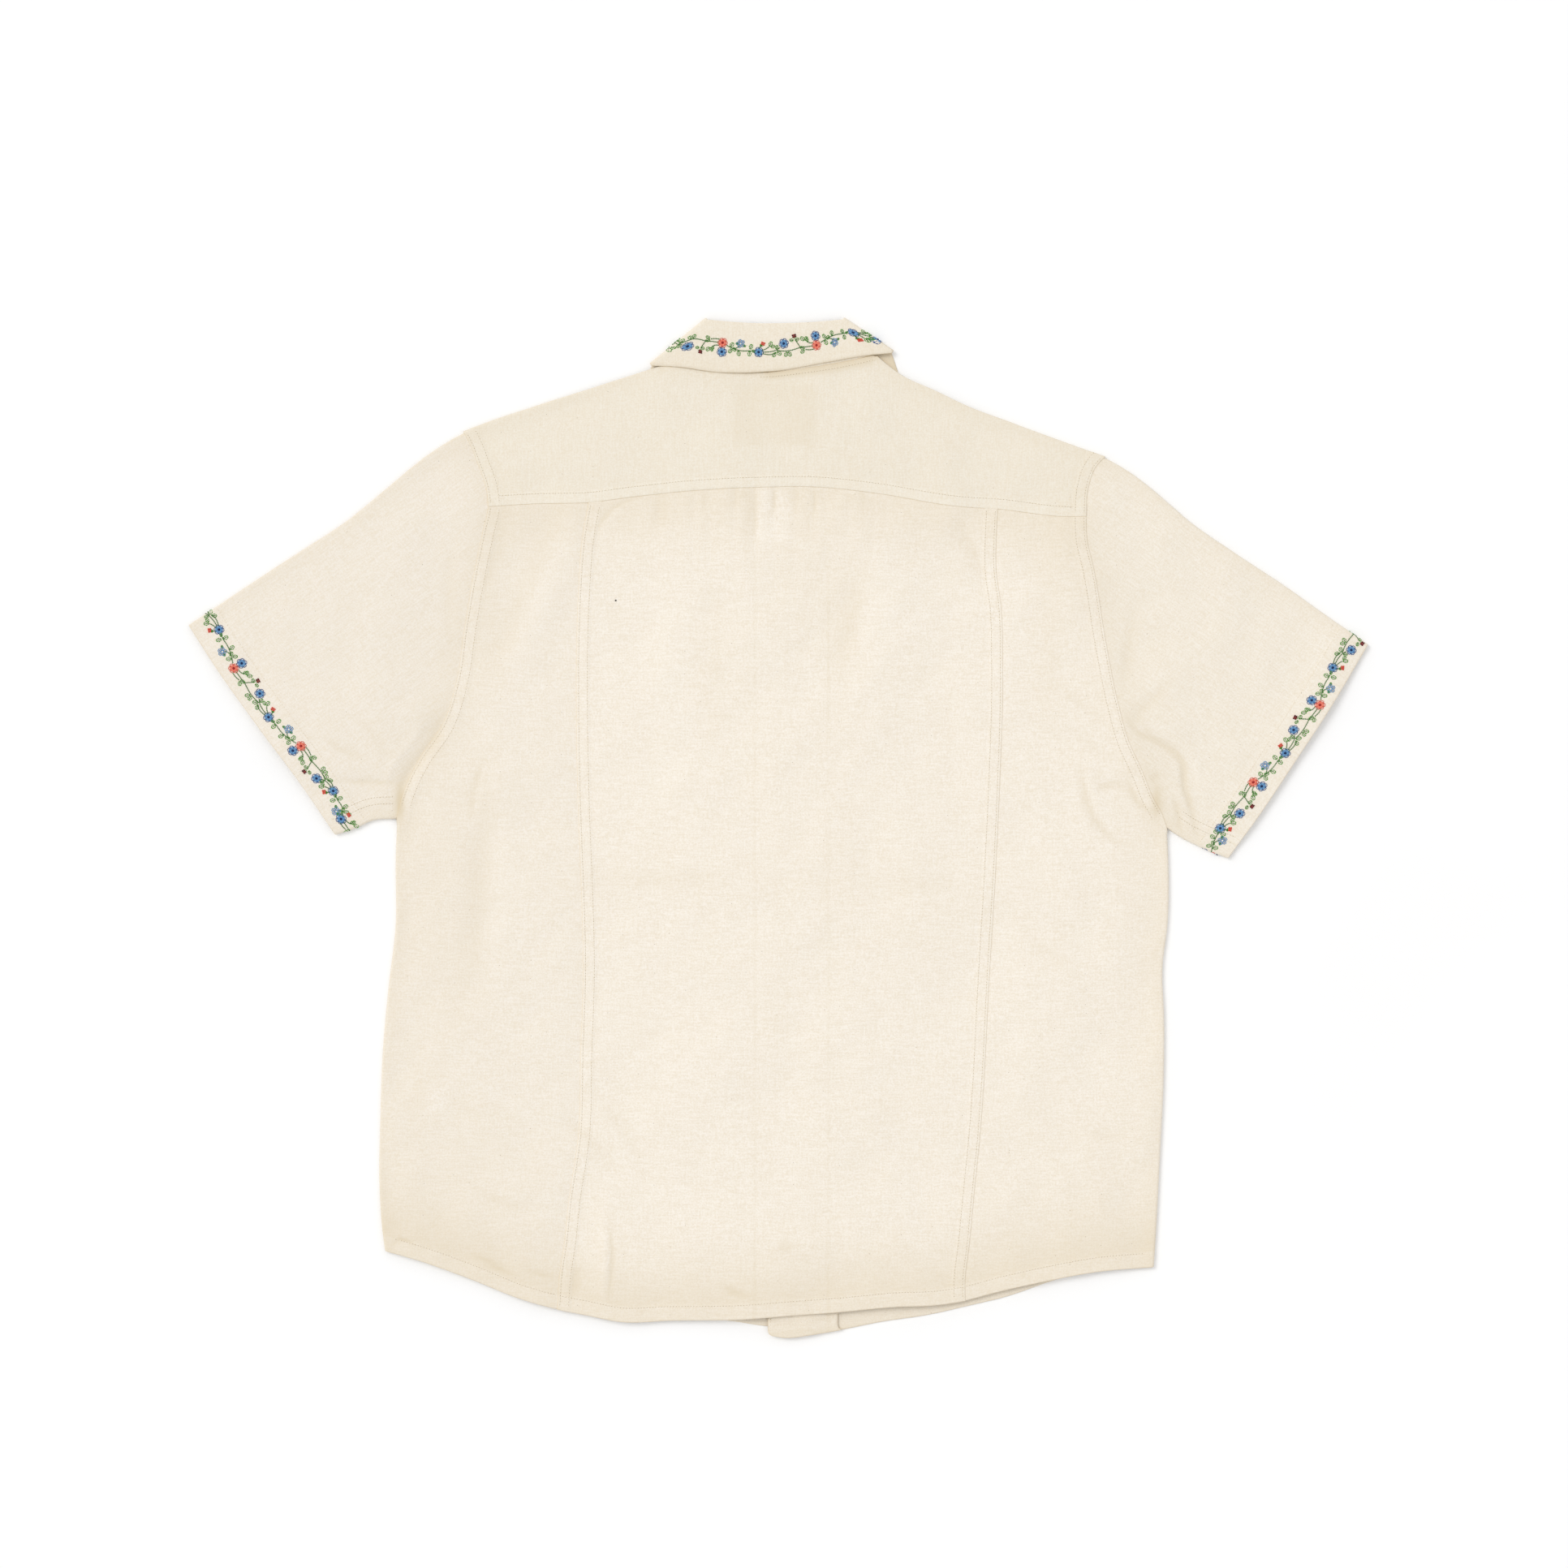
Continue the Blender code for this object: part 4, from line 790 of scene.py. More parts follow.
class Chart:
    """A grid of points on a surface, read by how far along it and how far from its edge."""

    def __init__(self, points, normals, level, closed=False):
        self.grids = (points, normals)
        self.level = level
        self.closed = closed
        self.away = np.zeros(points.shape[:2])
        self.away[1:] = np.cumsum(np.linalg.norm(np.diff(points, axis=0), axis=-1), axis=0)
        row = int(np.searchsorted(self.away[:, self.away.shape[1] // 4], level))
        self.along = travelled(points[row])
        inward = points[row] - points[0]
        forward = (inward * unit(np.gradient(points[row], axis=0))).sum(axis=1)
        lean = forward / np.sqrt((inward**2).sum(axis=1) - forward**2)
        padded = np.pad(lean, 4, mode="wrap" if closed else "edge")
        self.lean = np.convolve(padded, np.ones(9) / 9, mode="valid")

    def at(self, along, away):
        """Points and normals at distances along the chart and from its edge."""
        if self.closed:
            along = np.mod(along, self.along[-1])
        lean = np.interp(along, self.along, self.lean)
        place = along - (away - self.level) * lean
        if self.closed:
            place = np.mod(place, self.along[-1])
        column = np.interp(place, self.along, np.arange(len(self.along)))
        j = np.minimum(column.astype(int), len(self.along) - 2)
        u = column - j
        heights = self.away[:, j] * (1 - u) + self.away[:, j + 1] * u
        target = away * np.sqrt(1 + lean**2)
        i = np.clip((heights < target).sum(axis=0) - 1, 0, len(heights) - 2)
        columns = np.arange(len(j))
        low = heights[i, columns]
        v = ((target - low) / (heights[i + 1, columns] - low))[:, None]
        u = u[:, None]
        return [
            (grid[i, j] * (1 - u) + grid[i, j + 1] * u) * (1 - v)
            + (grid[i + 1, j] * (1 - u) + grid[i + 1, j + 1] * u) * v
            for grid in self.grids
        ]

    def along_of(self, x, y):
        """How far along lies the place of the upper face that is nearest to a plan point."""
        along, away = np.meshgrid(np.arange(0, self.along[-1], 0.5), np.arange(5, 25, 0.5))
        along = along.ravel()
        places, normals = self.at(along, away.ravel())
        gap = np.hypot(places[:, 0] - x, places[:, 1] - y) + np.where(normals[:, 2] > 0.5, 0, 1e3)
        return along[gap.argmin()]


def outer_point(side, down, seam_share):
    """A point of a body panel's outer edge, on the armhole or on the side seam."""
    if down <= ARMPIT_SHARE:
        return LINE["armhole_" + side].at(seam_share + (1 - seam_share) * down / ARMPIT_SHARE)
    return LINE["side_" + side].at((down - ARMPIT_SHARE) / (1 - ARMPIT_SHARE))


# Rows of a back panel, as shares of its height
BODY_DOWNS = stepped([(0, 0.9), (9, 3.1), (BACK_LENGTH - 14, 0.9)], BACK_LENGTH) / BACK_LENGTH


def back_row(first, last, across, down, corners):
    """One row of a back panel, its top edge tucked under the yoke."""
    row = panel_row(first, last, across, down, yoke_seam_y, hem_y, corners)
    row[:, 1] += TUCK * ease(1 - down / 0.02)
    return row


# The folded side edge of a back panel: angles round it, columns and how far they reach in
ROLL_ANGLES = np.radians((3, 15, 27, 39, 51, 63, 76, 90))
EDGE_COLUMNS = 18
EDGE_REACH = 10.8


def rolled_edge(turned):
    """Insets and drops of the first columns: flat above the armpit, rolled below."""
    flat = np.linspace(0, EDGE_REACH, EDGE_COLUMNS)
    rolled = 0.6 + FOLD_RADIUS * (1 - np.cos(ROLL_ANGLES))
    rest = np.linspace(rolled[-1], EDGE_REACH, EDGE_COLUMNS - len(ROLL_ANGLES) + 1)[1:]
    rolled = np.concatenate([rolled, rest])
    drop = np.zeros(EDGE_COLUMNS)
    drop[: len(ROLL_ANGLES)] = FOLD_RADIUS * (1 - np.sin(ROLL_ANGLES)) * turned
    return flat + (rolled - flat) * turned, drop


def turned_below(down):
    """How far the side edge is rolled: not above the armpit, fully a little below it."""
    return float(ease((down - ARMPIT_SHARE) / 0.012))


def build_back_centre():
    edges = [LINE["princess_" + side] for side in SIDES]
    corners = [edge.at(end) for end in (0, 1) for edge in edges]
    first_x = corners[0][0]
    last_x = corners[1][0]
    stops = (
        (first_x, 0.6), (first_x + EDGE_REACH, 3), (-110, 1.9), (-62, 1.35), (38, 1.9), (96, 3),
        (last_x - EDGE_REACH, 0.6),
    )
    across = (stepped(stops, last_x) - first_x) / (last_x - first_x)
    plan = [back_row(*(edge.at(down) for edge in edges), across, down, corners) for down in BODY_DOWNS]
    add_cloth("back_centre", raised(plan, centre_height))


def build_back_side(side):
    inner = LINE["princess_" + side]
    seam_share = YOKE_SHARE[side]
    corners = [
        LINE["armhole_" + side].at(seam_share), inner.at(0), LINE["side_" + side].at(1), inner.at(1),
    ]
    reach = stepped([(0, 1 / 32), (0.97, 1 / 140)], 1)[1:]
    plan = []
    drops = []
    for down in BODY_DOWNS:
        outer = outer_point(side, down, seam_share)
        last = inner.at(down) - (OUTWARD[side] * TUCK, 0)
        inset, drop = rolled_edge(turned_below(down))
        inset = inset / np.linalg.norm(last - outer)
        across = np.concatenate([inset, inset[-1] + (1 - inset[-1]) * reach])
        plan.append(back_row(outer, last, across, down, corners))
        drops.append(np.concatenate([drop, np.zeros(len(reach))]))
    add_cloth("back_side_" + side, raised(plan, side_height(side), -np.array(drops)))


def yoke_places(across, downs):
    """Plan points of one column of the yoke, from the shoulder down."""
    lines = [LINE["armhole_" + side] for side in SIDES]
    corners = [line.at(0) for line in lines] + [np.array(OUTLINE["yoke"][end]) for end in (0, -1)]
    places = []
    for down in downs:
        left, right = [line.at(YOKE_SHARE[side] * down) for line, side in zip(lines, SIDES)]
        row = panel_row(left, right, np.array([across]), down, yoke_top_y, yoke_seam_y, corners)
        places.append(row[0])
    return np.array(places)


def yoke_share(across, distance):
    """Share of the way down that lies a given distance from the shoulder."""
    ends = yoke_places(across, (0, 1))
    return distance / np.linalg.norm(ends[1] - ends[0])


def yoke_turn(across):
    """Points of one column round the shoulder and down to the seam on the front."""
    start, edge = yoke_places(across, [yoke_share(across, FOLD_INSET), 0])
    above = float(yoke_height(start[:1], start[1:])[0])
    below = float(under_height(*start))
    column = half_turn(start, unit(edge - start), (above + below) / 2, (above - below) / 2)
    for distance in np.linspace(FOLD_INSET, YOKE_FRONT_DROP, 7)[1:]:
        place = yoke_places(across, [yoke_share(across, distance)])[0]
        column.append((*place, float(under_height(*place))))
    return column


def half_turn(start, outward, middle, radius):
    """Points of a half circle from above to below a place, that bulges outward."""
    return [
        (*(start + outward * radius * math.sin(angle)), middle + radius * math.cos(angle))
        for angle in np.radians(np.linspace(0, 180, 9))
    ]


def yoke_columns():
    """Shares across the yoke: left shoulder, neck and right shoulder."""
    first_x = OUTLINE["armhole_left"][0][0]
    width = OUTLINE["armhole_right"][0][0] - first_x
    neck_left = (NECK_LEFT_X - first_x) / width
    neck_right = (NECK_RIGHT_X - first_x) / width
    fine = EDGE_REACH / width
    left = stepped([(0, fine / 14), (fine, 3 / width)], neck_left)
    neck = stepped([(neck_left, 3 / width)], neck_right)[1:-1]
    right = stepped([(neck_right, 3 / width), (1 - fine, fine / 14)], 1)
    return left, neck, right


def build_yoke():
    left, neck, right = yoke_columns()
    insets = [FOLD_INSET] * len(left) + [0.1] * len(neck) + [FOLD_INSET] * len(right)
    downs = stepped([(0, 0.045), (0.86, 0.0065)], 1)
    plan = []
    for across, inset in zip(np.concatenate([left, neck, right]), insets):
        end = yoke_share(across, inset)
        plan.append(yoke_places(across, end + (1 - end) * downs))
    grid = raised(plan, yoke_height)
    blocks = [(grid.reshape(-1, 3), grid_faces(*grid.shape[:2]))]
    for stretch, where in ((left, slice(0, len(left))), (right, slice(-len(right), None))):
        turn = np.array([yoke_turn(across) for across in stretch])
        turn[:, 0] = grid[where, 0]
        blocks.append((turn.reshape(-1, 3), grid_faces(*turn.shape[:2])[:, ::-1]))
    add_cloth("yoke", *welded(blocks))


def sleeve_plan(side, stations, row):
    """Plan points of one ring of a sleeve, from the shoulder to the armpit."""
    share = np.asarray(stations, float)[:, None]

    def across(at):
        """A point between the armhole and the cuff."""
        return (1 - row) * LINE["armhole_" + side].at(at) + row * LINE["cuff_" + side].at(at)

    length = (1 - share) * LINE["overarm_" + side].at(row) + share * LINE["underarm_" + side].at(row)
    corners = (1 - share) * across(0) + share * across(1)
    under = np.array([-OUTWARD[side] * TUCK * ease(1 - row / 0.04), 0])
    return across(stations) + length - corners + under


def sleeve_ring(side, row):
    """One ring of a sleeve: upper layer, underarm fold, lower layer, overarm fold."""
    ends = sleeve_plan(side, (0, 1), row)
    end = (FOLD_INSET + SEAM_GAP) / np.linalg.norm(ends[1] - ends[0])
    upper = sleeve_plan(side, np.linspace(end, 1 - end, 92), row)
    lower = sleeve_plan(side, np.linspace(1 - end, end, 40), row)
    above = sleeve_height(side)(upper[:, 0], upper[:, 1])
    folds = []
    for k in (-1, 0):
        radius = (above[k] - FLOOR) / 2
        turn = half_turn(upper[k], unit(ends[k] - upper[k]), FLOOR + radius, radius)[1:-1]
        folds.append(turn if k else turn[::-1])
    lower = np.column_stack([lower, np.full(len(lower), FLOOR)])
    return np.concatenate([np.column_stack([upper, above]), folds[0], lower, folds[1]])


def build_sleeve(side):
    cuff = SLEEVE_LENGTH
    stops = ((0, 1), (8, 3.2), (cuff - 29, 0.9), (cuff - 21, 2.6), (cuff - 5, 1.2))
    grid = np.array([sleeve_ring(side, row) for row in stepped(stops, cuff) / cuff])
    add_cloth("sleeve_" + side, grid.reshape(-1, 3), grid_faces(*grid.shape[:2], ring=True))
    outer = outer_face(grid, (20, 30), ring=True)
    outer = [np.concatenate([part, part[:, :1]], axis=1)[::-1] for part in outer]
    return Chart(*outer, VINE_ON_CUFF, closed=True)


def yoke_front_seam(side):
    """The yoke's seam on the front, from left to right, as x and y."""
    stretch = yoke_columns()[0 if side == "left" else 2]
    shares = np.linspace(stretch[0], stretch[-1], 9)
    return np.array([yoke_places(at, [yoke_share(at, YOKE_FRONT_DROP)])[0] for at in shares])


# The rounded lower corner of a front, and the columns of the folded edge that a front has
FRONT_CORNER = 3.4
FRONT_EDGE_PICK = [17, 12, 7, 6, 5, 4, 3, 2, 1, 0]
# Places across the fronts where the layers bend, from the inner edge out
FRONT_BENDS = {
    "left": (LEFT_EDGE_X, BUTTON_X + LIFT_TOP, BUTTON_X - LIFT_TOP, BUTTON_X - LIFT_FOOT),
    "right": (
        RIGHT_EDGE_X, BUTTON_X - LIFT_TOP, BUTTON_X + LIFT_TOP, OVERLAP_FLAT, BUTTON_X + LIFT_FOOT,
        OVERLAP_FOOT, RIGHT_EDGE_X + FACING_WIDTH,
    ),
}


def front_inner_line(side, corner):
    """Shares of the way down and plan points along a front's inner edge."""
    edge_x = FRONT_BENDS[side][0]
    start_share, start_y = FRONT_EDGE_START
    table = [(0, *corner)]
    table += [(share, OUTWARD[side] * away, y) for share, away, y in FRONT_INNER]
    table += [(start_share, edge_x, start_y), (1, edge_x, float(front_hem_y[side](edge_x)))]
    return [np.array(column) for column in zip(*table)]


def build_front(side):
    seam = yoke_front_seam(side)
    outer_top, inner_top = seam[[0, -1]] if side == "left" else seam[[-1, 0]]
    drop_share = YOKE_SHARE[side] * yoke_share(SIDES.index(side), YOKE_FRONT_DROP)
    shares, xs, ys = front_inner_line(side, inner_top)
    corners = [inner_top, outer_top, np.array([xs[-1], ys[-1]]), LINE["side_" + side].at(1)]
    bends = np.abs(np.array(FRONT_BENDS[side]) - xs[-1])
    near = np.unique(np.concatenate([
        np.linspace(first, last, max(2, round((last - first) / 2) + 1))
        for first, last in zip(bends, bends[1:])
    ]))
    downs = stepped([(0, 4), (FRONT_LENGTH - 13, 0.8)], FRONT_LENGTH) / FRONT_LENGTH
    downs = np.unique(np.concatenate([downs, shares]))
    plan = []
    drops = []
    for down in downs:
        outer = outer_point(side, down, drop_share)
        inner = np.array([np.interp(down, shares, xs), np.interp(down, shares, ys)])
        into_corner = FRONT_CORNER - (1 - down) * FRONT_LENGTH
        if into_corner > 0:
            inner[0] += OUTWARD[side] * (FRONT_CORNER - math.sqrt(FRONT_CORNER**2 - into_corner**2))
        width = np.linalg.norm(inner - outer)
        inset, drop = [column[FRONT_EDGE_PICK] for column in rolled_edge(turned_below(down))]
        rest = near[-1] + (width - inset[0] - near[-1]) * np.linspace(0, 1, 26)[1:-1]
        across = np.concatenate([near, rest, width - inset]) / width
        plan.append(panel_row(
            inner, outer, across, down, lambda x: np.interp(x, *seam.T), front_hem_y[side], corners,
        ))
        drops.append(np.concatenate([np.zeros(len(near) + len(rest)), drop]))
    grid = raised(plan, FRONT_HEIGHT[side], np.array(drops))
    grid[..., 2] += np.maximum(relief(grid[..., 0], grid[..., 1], [], ["front_hem_" + side]), 0)
    add_cloth("front_" + side, grid)
    if side == "right":
        start = int(np.searchsorted(downs, FRONT_EDGE_START[0]))
        add_cloth("facing_right", grid[start:, :len(near)] + np.array([0, 0, OVERLAP_RISE]))


def build_lapel(side):
    """Folded back along its roll, between the front and the table."""
    roll, outer = np.array([LAPEL_ROLL, LAPEL_OUTER]) * (OUTWARD[side], 1)
    run = roll[1] - roll[0]
    middle = unit(np.array([-OUTWARD[side] * abs(run[1]), abs(run[0])]))
    grid = []
    for down in np.linspace(0, 1, 22):
        start = roll[0] + run * down
        end = outer[0] + (outer[1] - outer[0]) * down
        flat = [(*(start + (end - start) * share), FLOOR) for share in np.linspace(0, 1, 24)[1:]]
        grid.append(half_turn(start, middle, FLOOR + LAYER / 2, LAYER / 2) + flat)
    add_cloth("lapel_" + side, np.array(grid))


def collar_section(station):
    """One section across the collar: plan points and distances from the middle layer."""
    seam, fold, edge = station.reshape(3, 2)
    turn = half_turn(fold, unit(fold - seam), STAND_RADIUS + LAYER / 2, LAYER / 2)[-2:0:-1]
    places = [seam + (fold - seam) * share for share in np.linspace(0, 1, 9)]
    places += [point[:2] for point in turn]
    places += [fold + (edge - fold) * share for share in np.linspace(0, 1, 17)]
    radii = [STAND_RADIUS] * 9 + [point[2] for point in turn] + [FALL_RADIUS] * 17
    return np.array(places), np.array(radii)


def build_collar():
    rows = []

    def flat_rows(stations, sign, count):
        table = np.array(stations, float).reshape(len(stations), 6)
        for station in Line(table).at(np.linspace(0, 1, count)):
            places, radii = collar_section(station)
            rows.append(np.column_stack([places, COLLAR_MIDDLE + sign * radii]))

    def side_turn(station, outward, angles):
        places, radii = collar_section(np.array(station, float).ravel())
        for angle in np.radians(angles):
            moved = places + unit(np.array(outward)) * (radii * math.sin(angle))[:, None]
            rows.append(np.column_stack([moved, COLLAR_MIDDLE + radii * math.cos(angle)]))

    angles = np.linspace(180, 0, 13)
    flat_rows(COLLAR_FRONT_LEFT, -1, 18)
    side_turn(COLLAR_BACK[0], COLLAR_TURN_LEFT, angles[:-1])
    flat_rows(COLLAR_BACK, 1, 64)
    side_turn(COLLAR_BACK[-1], COLLAR_TURN_RIGHT, angles[::-1][1:])
    flat_rows(COLLAR_FRONT_RIGHT, -1, 18)
    grid = np.array(rows)
    wave = crumple(grid[..., 0] * 1.7, grid[..., 1] * 1.7) * 0.35
    grid[..., 2] += np.where(grid[..., 2] > COLLAR_MIDDLE + STAND_RADIUS, wave, 0)
    add_cloth("collar", grid)
    outer = outer_face(grid, (60, -6))
    return Chart(*(part[:, -17:].transpose(1, 0, 2)[::-1] for part in outer), VINE_ON_COLLAR)


def capsules(starts, ends, normals, radius):
    """Short threads from starts to ends, a little raised in the middle, as points and faces."""
    starts = np.asarray(starts, float)
    run = np.asarray(ends, float) - starts
    along = unit(run)
    side = unit(np.cross(along, normals))
    up = np.cross(side, along)
    radius = np.broadcast_to(np.asarray(radius, float), (len(starts),))[:, None]
    rows = [starts - up * radius * 0.7]
    for share, size, lift in ((0.16, 0.75, 0), (0.5, 1, 0.35), (0.84, 0.75, 0)):
        middle = starts + run * share + up * radius * lift
        rows += [middle + turn * radius * size for turn in (side, up, -side, -up)]
    rows.append(ends - up * radius * 0.7)
    points = np.stack(rows, axis=1).reshape(-1, 3)
    pattern = []
    for k in range(4):
        after = (k + 1) % 4
        pattern.append((0, 1 + after, 1 + k, 1 + k))
        pattern += [(r + k, r + after, r + 4 + after, r + 4 + k) for r in (1, 5)]
        pattern.append((9 + k, 9 + after, 13, 13))
    first = np.arange(len(starts))[:, None, None] * len(rows)
    return points, (np.array(pattern)[None] + first).reshape(-1, 4)


def add_threads(name, parts, materials):
    """One mesh of many threads, sewn on a sheet. A part gives points, faces and the number of
    its material. A face with a doubled corner becomes a triangle."""
    points, faces = joined(parts)
    faces = [row[:3] if row[2] == row[3] else row for row in faces.tolist()]
    item = add_mesh(name, points, faces, [THREAD[kind] for kind in materials])
    kinds = np.concatenate([np.full(len(part[1]), part[2]) for part in parts])
    item.data.polygons.foreach_set("material_index", kinds.astype(np.int32))
    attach(item, "root")


# Small differences from stitch to stitch
CHANCE = np.random.default_rng(21)


def stitch_row(path, up=1):
    """A row of stitches along a path on the cloth, with a dark speck of painted shade at each needle hole
    between them.
    """
    before = travelled(path)
    count = max(2, round(before[-1] / STITCH_PITCH))
    pitch = before[-1] / count
    places = (np.arange(count) + CHANCE.uniform(-0.06, 0.06, count)) * pitch + STITCH_GAP / 2

    def at(places):
        return np.column_stack([np.interp(places, before, path[:, k]) for k in range(3)])

    starts = at(places)
    ends = at(places + pitch - STITCH_GAP)
    starts[:, :2] += CHANCE.uniform(-0.06, 0.06, (count, 2))
    ends[:, :2] += CHANCE.uniform(-0.06, 0.06, (count, 2))
    normals = np.tile([0, 0, up], (count, 1))
    lift = np.array([0, 0, up * STITCH_RADIUS * 0.3])
    thread = capsules(starts + lift, ends + lift, normals, STITCH_RADIUS)
    # Each needle hole is a dark speck: painted shade in the hole
    middle = at(places - STITCH_GAP / 2)
    across = unit(ends - starts) * HOLE_RADIUS
    hole = capsules(middle - across, middle + across, normals, HOLE_RADIUS)
    return [(*thread, 0), (*hole, 1)]


def on_cloth(plan, height, face=WALL / 2):
    """A path on a face of cloth whose middle has this height."""
    plan = np.asarray(plan, float)
    return np.column_stack([plan, height(plan[:, 0], plan[:, 1]) + face])


def shifted(name, first, last, count, distance):
    """Plan points beside a stretch of a line, on its left as it runs for a positive distance."""
    places = LINE[name].at(np.linspace(first, last, count))
    run = unit(np.gradient(places, axis=0))
    return places + distance * np.column_stack([-run[:, 1], run[:, 0]])


# One dark knot in the weave
DARK_SPECK = (-124.9, 172.8)


def build_stitches(sleeves):
    """The rows beside the armholes end at the yoke seam and start again below it."""
    rows = []
    for side in SIDES:
        armhole = "armhole_" + side
        share = YOKE_SHARE[side]
        for distance in BAND["armhole"][1]:
            away = -OUTWARD[side] * distance
            rows += [
                (centre_height, "princess_" + side, 0.004, 0.998, 260, away),
                (yoke_height, armhole, 0.015, share - 0.006, 60, away),
                (side_height(side), armhole, share + 0.006, 0.965, 160, away),
            ]
    rows.append((yoke_height, "yoke", 0.02, 0.98, 300, BAND["yoke"][1][0]))
    rows.append((yoke_height, "neck", 0.45, 0.99, 90, -BAND["neck"][1][0]))
    parts = []
    for height, *stretch in rows:
        parts += stitch_row(on_cloth(shifted(*stretch), height))
    hem = shifted("hem", 0.01, 0.99, 420, BAND["hem"][1][0])
    for first_x, last_x, height in (
        (-400, -168, side_height("left")), (-167, 142, centre_height), (143, 400, side_height("right")),
    ):
        parts += stitch_row(on_cloth(hem[(hem[:, 0] > first_x) & (hem[:, 0] < last_x)], height))
    for chart in sleeves.values():
        along = np.linspace(0, chart.along[-1], 300)[:-1]
        places, normals = chart.at(along, np.full(len(along), CUFF_HEM))
        parts.append(stitch_row(places + 0.02 * normals)[0])
    for side in SIDES:
        for distance in (12.4, 17.6):
            seam = shifted("underarm_" + side, 0.06, 1, 60, OUTWARD[side] * distance)
            parts += stitch_row(on_cloth(seam, sleeve_height(side)))
    parts += front_stitches()
    start = on_cloth([DARK_SPECK], centre_height, WALL / 2 + 0.35)
    parts.append((*capsules(start, start + [1.5, 0.4, 0], [[0, 0, 1]], 0.6), 2))
    add_threads("seam_stitches", parts, ("seam_thread", "needle_hole_shade", "dark_fibre"))


def front_stitches():
    """The stitches of the fronts, on the faces that look down to the table, and the rows on the
    end of the right front that shows below the back hem."""
    parts = []
    top = WALL / 2 + OVERLAP_RISE
    facing_x = RIGHT_EDGE_X + FACING_WIDTH
    ys = np.linspace(240, -376, 200)
    for x in (RIGHT_EDGE_X + 1.7, facing_x - 8):
        xs = np.full(200, x)
        parts += stitch_row(np.column_stack([xs, ys - 11, right_front_height(xs, ys) + top]))
    for side in SIDES:
        plan = shifted("front_hem_" + side, 0.02, 0.97, 240, 10)
        x = plan[:, 0]
        keep = x < LEFT_EDGE_X - 2 if side == "left" else x > RIGHT_EDGE_X + 2
        parts += stitch_row(on_cloth(plan, FRONT_HEIGHT[side], -WALL / 2)[keep], -1)
        if side == "right":
            parts += stitch_row(on_cloth(plan, right_front_height, top)[keep & (x < facing_x - 1)])
    for inset in (5, 30):
        plan = np.column_stack([np.full(200, LEFT_EDGE_X - inset), ys])
        parts += stitch_row(on_cloth(plan, under_height, -WALL / 2), -1)
    return parts


# One repeat of the embroidered vine, charted: s runs along it, t across it, both in mm.
# The next repeat is the same with t turned round.
VINE_REPEAT = 77
FLOWERS = (
    ("coral", 0, 3.4, 3.75), ("blue", 0.3, -3.8, 3.75), ("open", 15.5, 3.6, 3.5),
    ("blue", 31.4, -3.4, 3.75), ("blue", 50.3, 1.8, 3.75),
)
BUDS = (("coral", 34.6, 2.6, 68), ("dark", 59.5, 6, 96))
LEAVES = (
    (7.1, 0.6, 62, 4.3), (8.2, -0.8, -118, 4), (9.3, 0.3, -52, 3.8), (13.9, -2.3, -78, 4.2),
    (13.4, 3, 150, 2.2), (17.9, 2.3, -28, 2.4), (24.1, -1, 74, 4.3), (23.7, -2.4, -98, 4.2),
    (25.8, -1.7, -35, 3), (33.6, 0.9, 118, 2), (39.6, 0.5, 62, 4.2), (40.5, 0.1, 8, 3.6),
    (43.7, -4.6, -130, 4), (44.8, -3.9, -40, 4.2), (44.2, -1.9, 62, 3.4), (53, -4.9, -62, 4.2),
    (52.3, -4.9, -122, 4), (58.4, 3.2, 168, 3.2), (59.7, 3, 12, 3.6), (66.6, -4.8, 148, 4),
    (66.3, -5.4, -150, 3.8), (67.2, 1.6, 128, 4.2), (68.1, 1.3, 62, 3.6), (70, 0.2, 100, 3.4),
)
STEMS = (
    (3.7, 1.8, 7.5, 0.2, 12.9, -1.5, 18.3, -2.3, 23.7, -2.2, 27.8, -2.9), (9.9, -0.7, 12.9, 0.3, 15.1, 1.8),
    (13.6, -1.7, 14.6, -2.7), (31.6, -0.7, 32.6, 0.8, 34.2, 1.6), (34, -2.1, 36.6, -1.3, 39.4, 0.4),
    (34.2, -4.7, 37.7, -5.6, 41.6, -5.5, 44.2, -4.2), (34.6, -3.5, 38.8, -3.6, 44.2, -2.7, 47.4, -0.9),
    (44.6, -2.9, 49.5, -3.9, 54.9, -4.1, 59.2, -3.6, 62.9, -3.1, 68.9, -3.3, 74, -3.4),
    (63.1, -2.6, 61.8, 0, 60.7, 2, 60, 4.2), (69.1, 0.7, 71.5, -0.8, 74.4, -1.1),
    (67.2, -5.2, 71.1, -6, 74.8, -5.9),
)
THREAD_SIZE = 1.4
# How far a thread stands out of a face that looks down to the table
RISE_BELOW = 0.25
FLOWER_THREADS = {
    "blue": ("blue", "light_blue", "deep_blue"),
    "open": ("light_blue", "blue", "blue"),
    "coral": ("coral", "light_coral", "red"),
}


def turned(points, angle, middle):
    """Points turned by an angle in degrees and moved to a middle."""
    c = math.cos(math.radians(angle))
    s = math.sin(math.radians(angle))
    return points @ np.array([[c, s], [-s, c]]) + np.asarray(middle, float)


def sewn(colour, size, points, middle, angle, scale=1):
    """Straight strokes through points made larger, turned and moved: colour, size and ends."""
    points = turned(np.array(points, float) * scale, angle, middle)
    return [(colour, size, (*first, *second)) for first, second in zip(points[:-1], points[1:])]


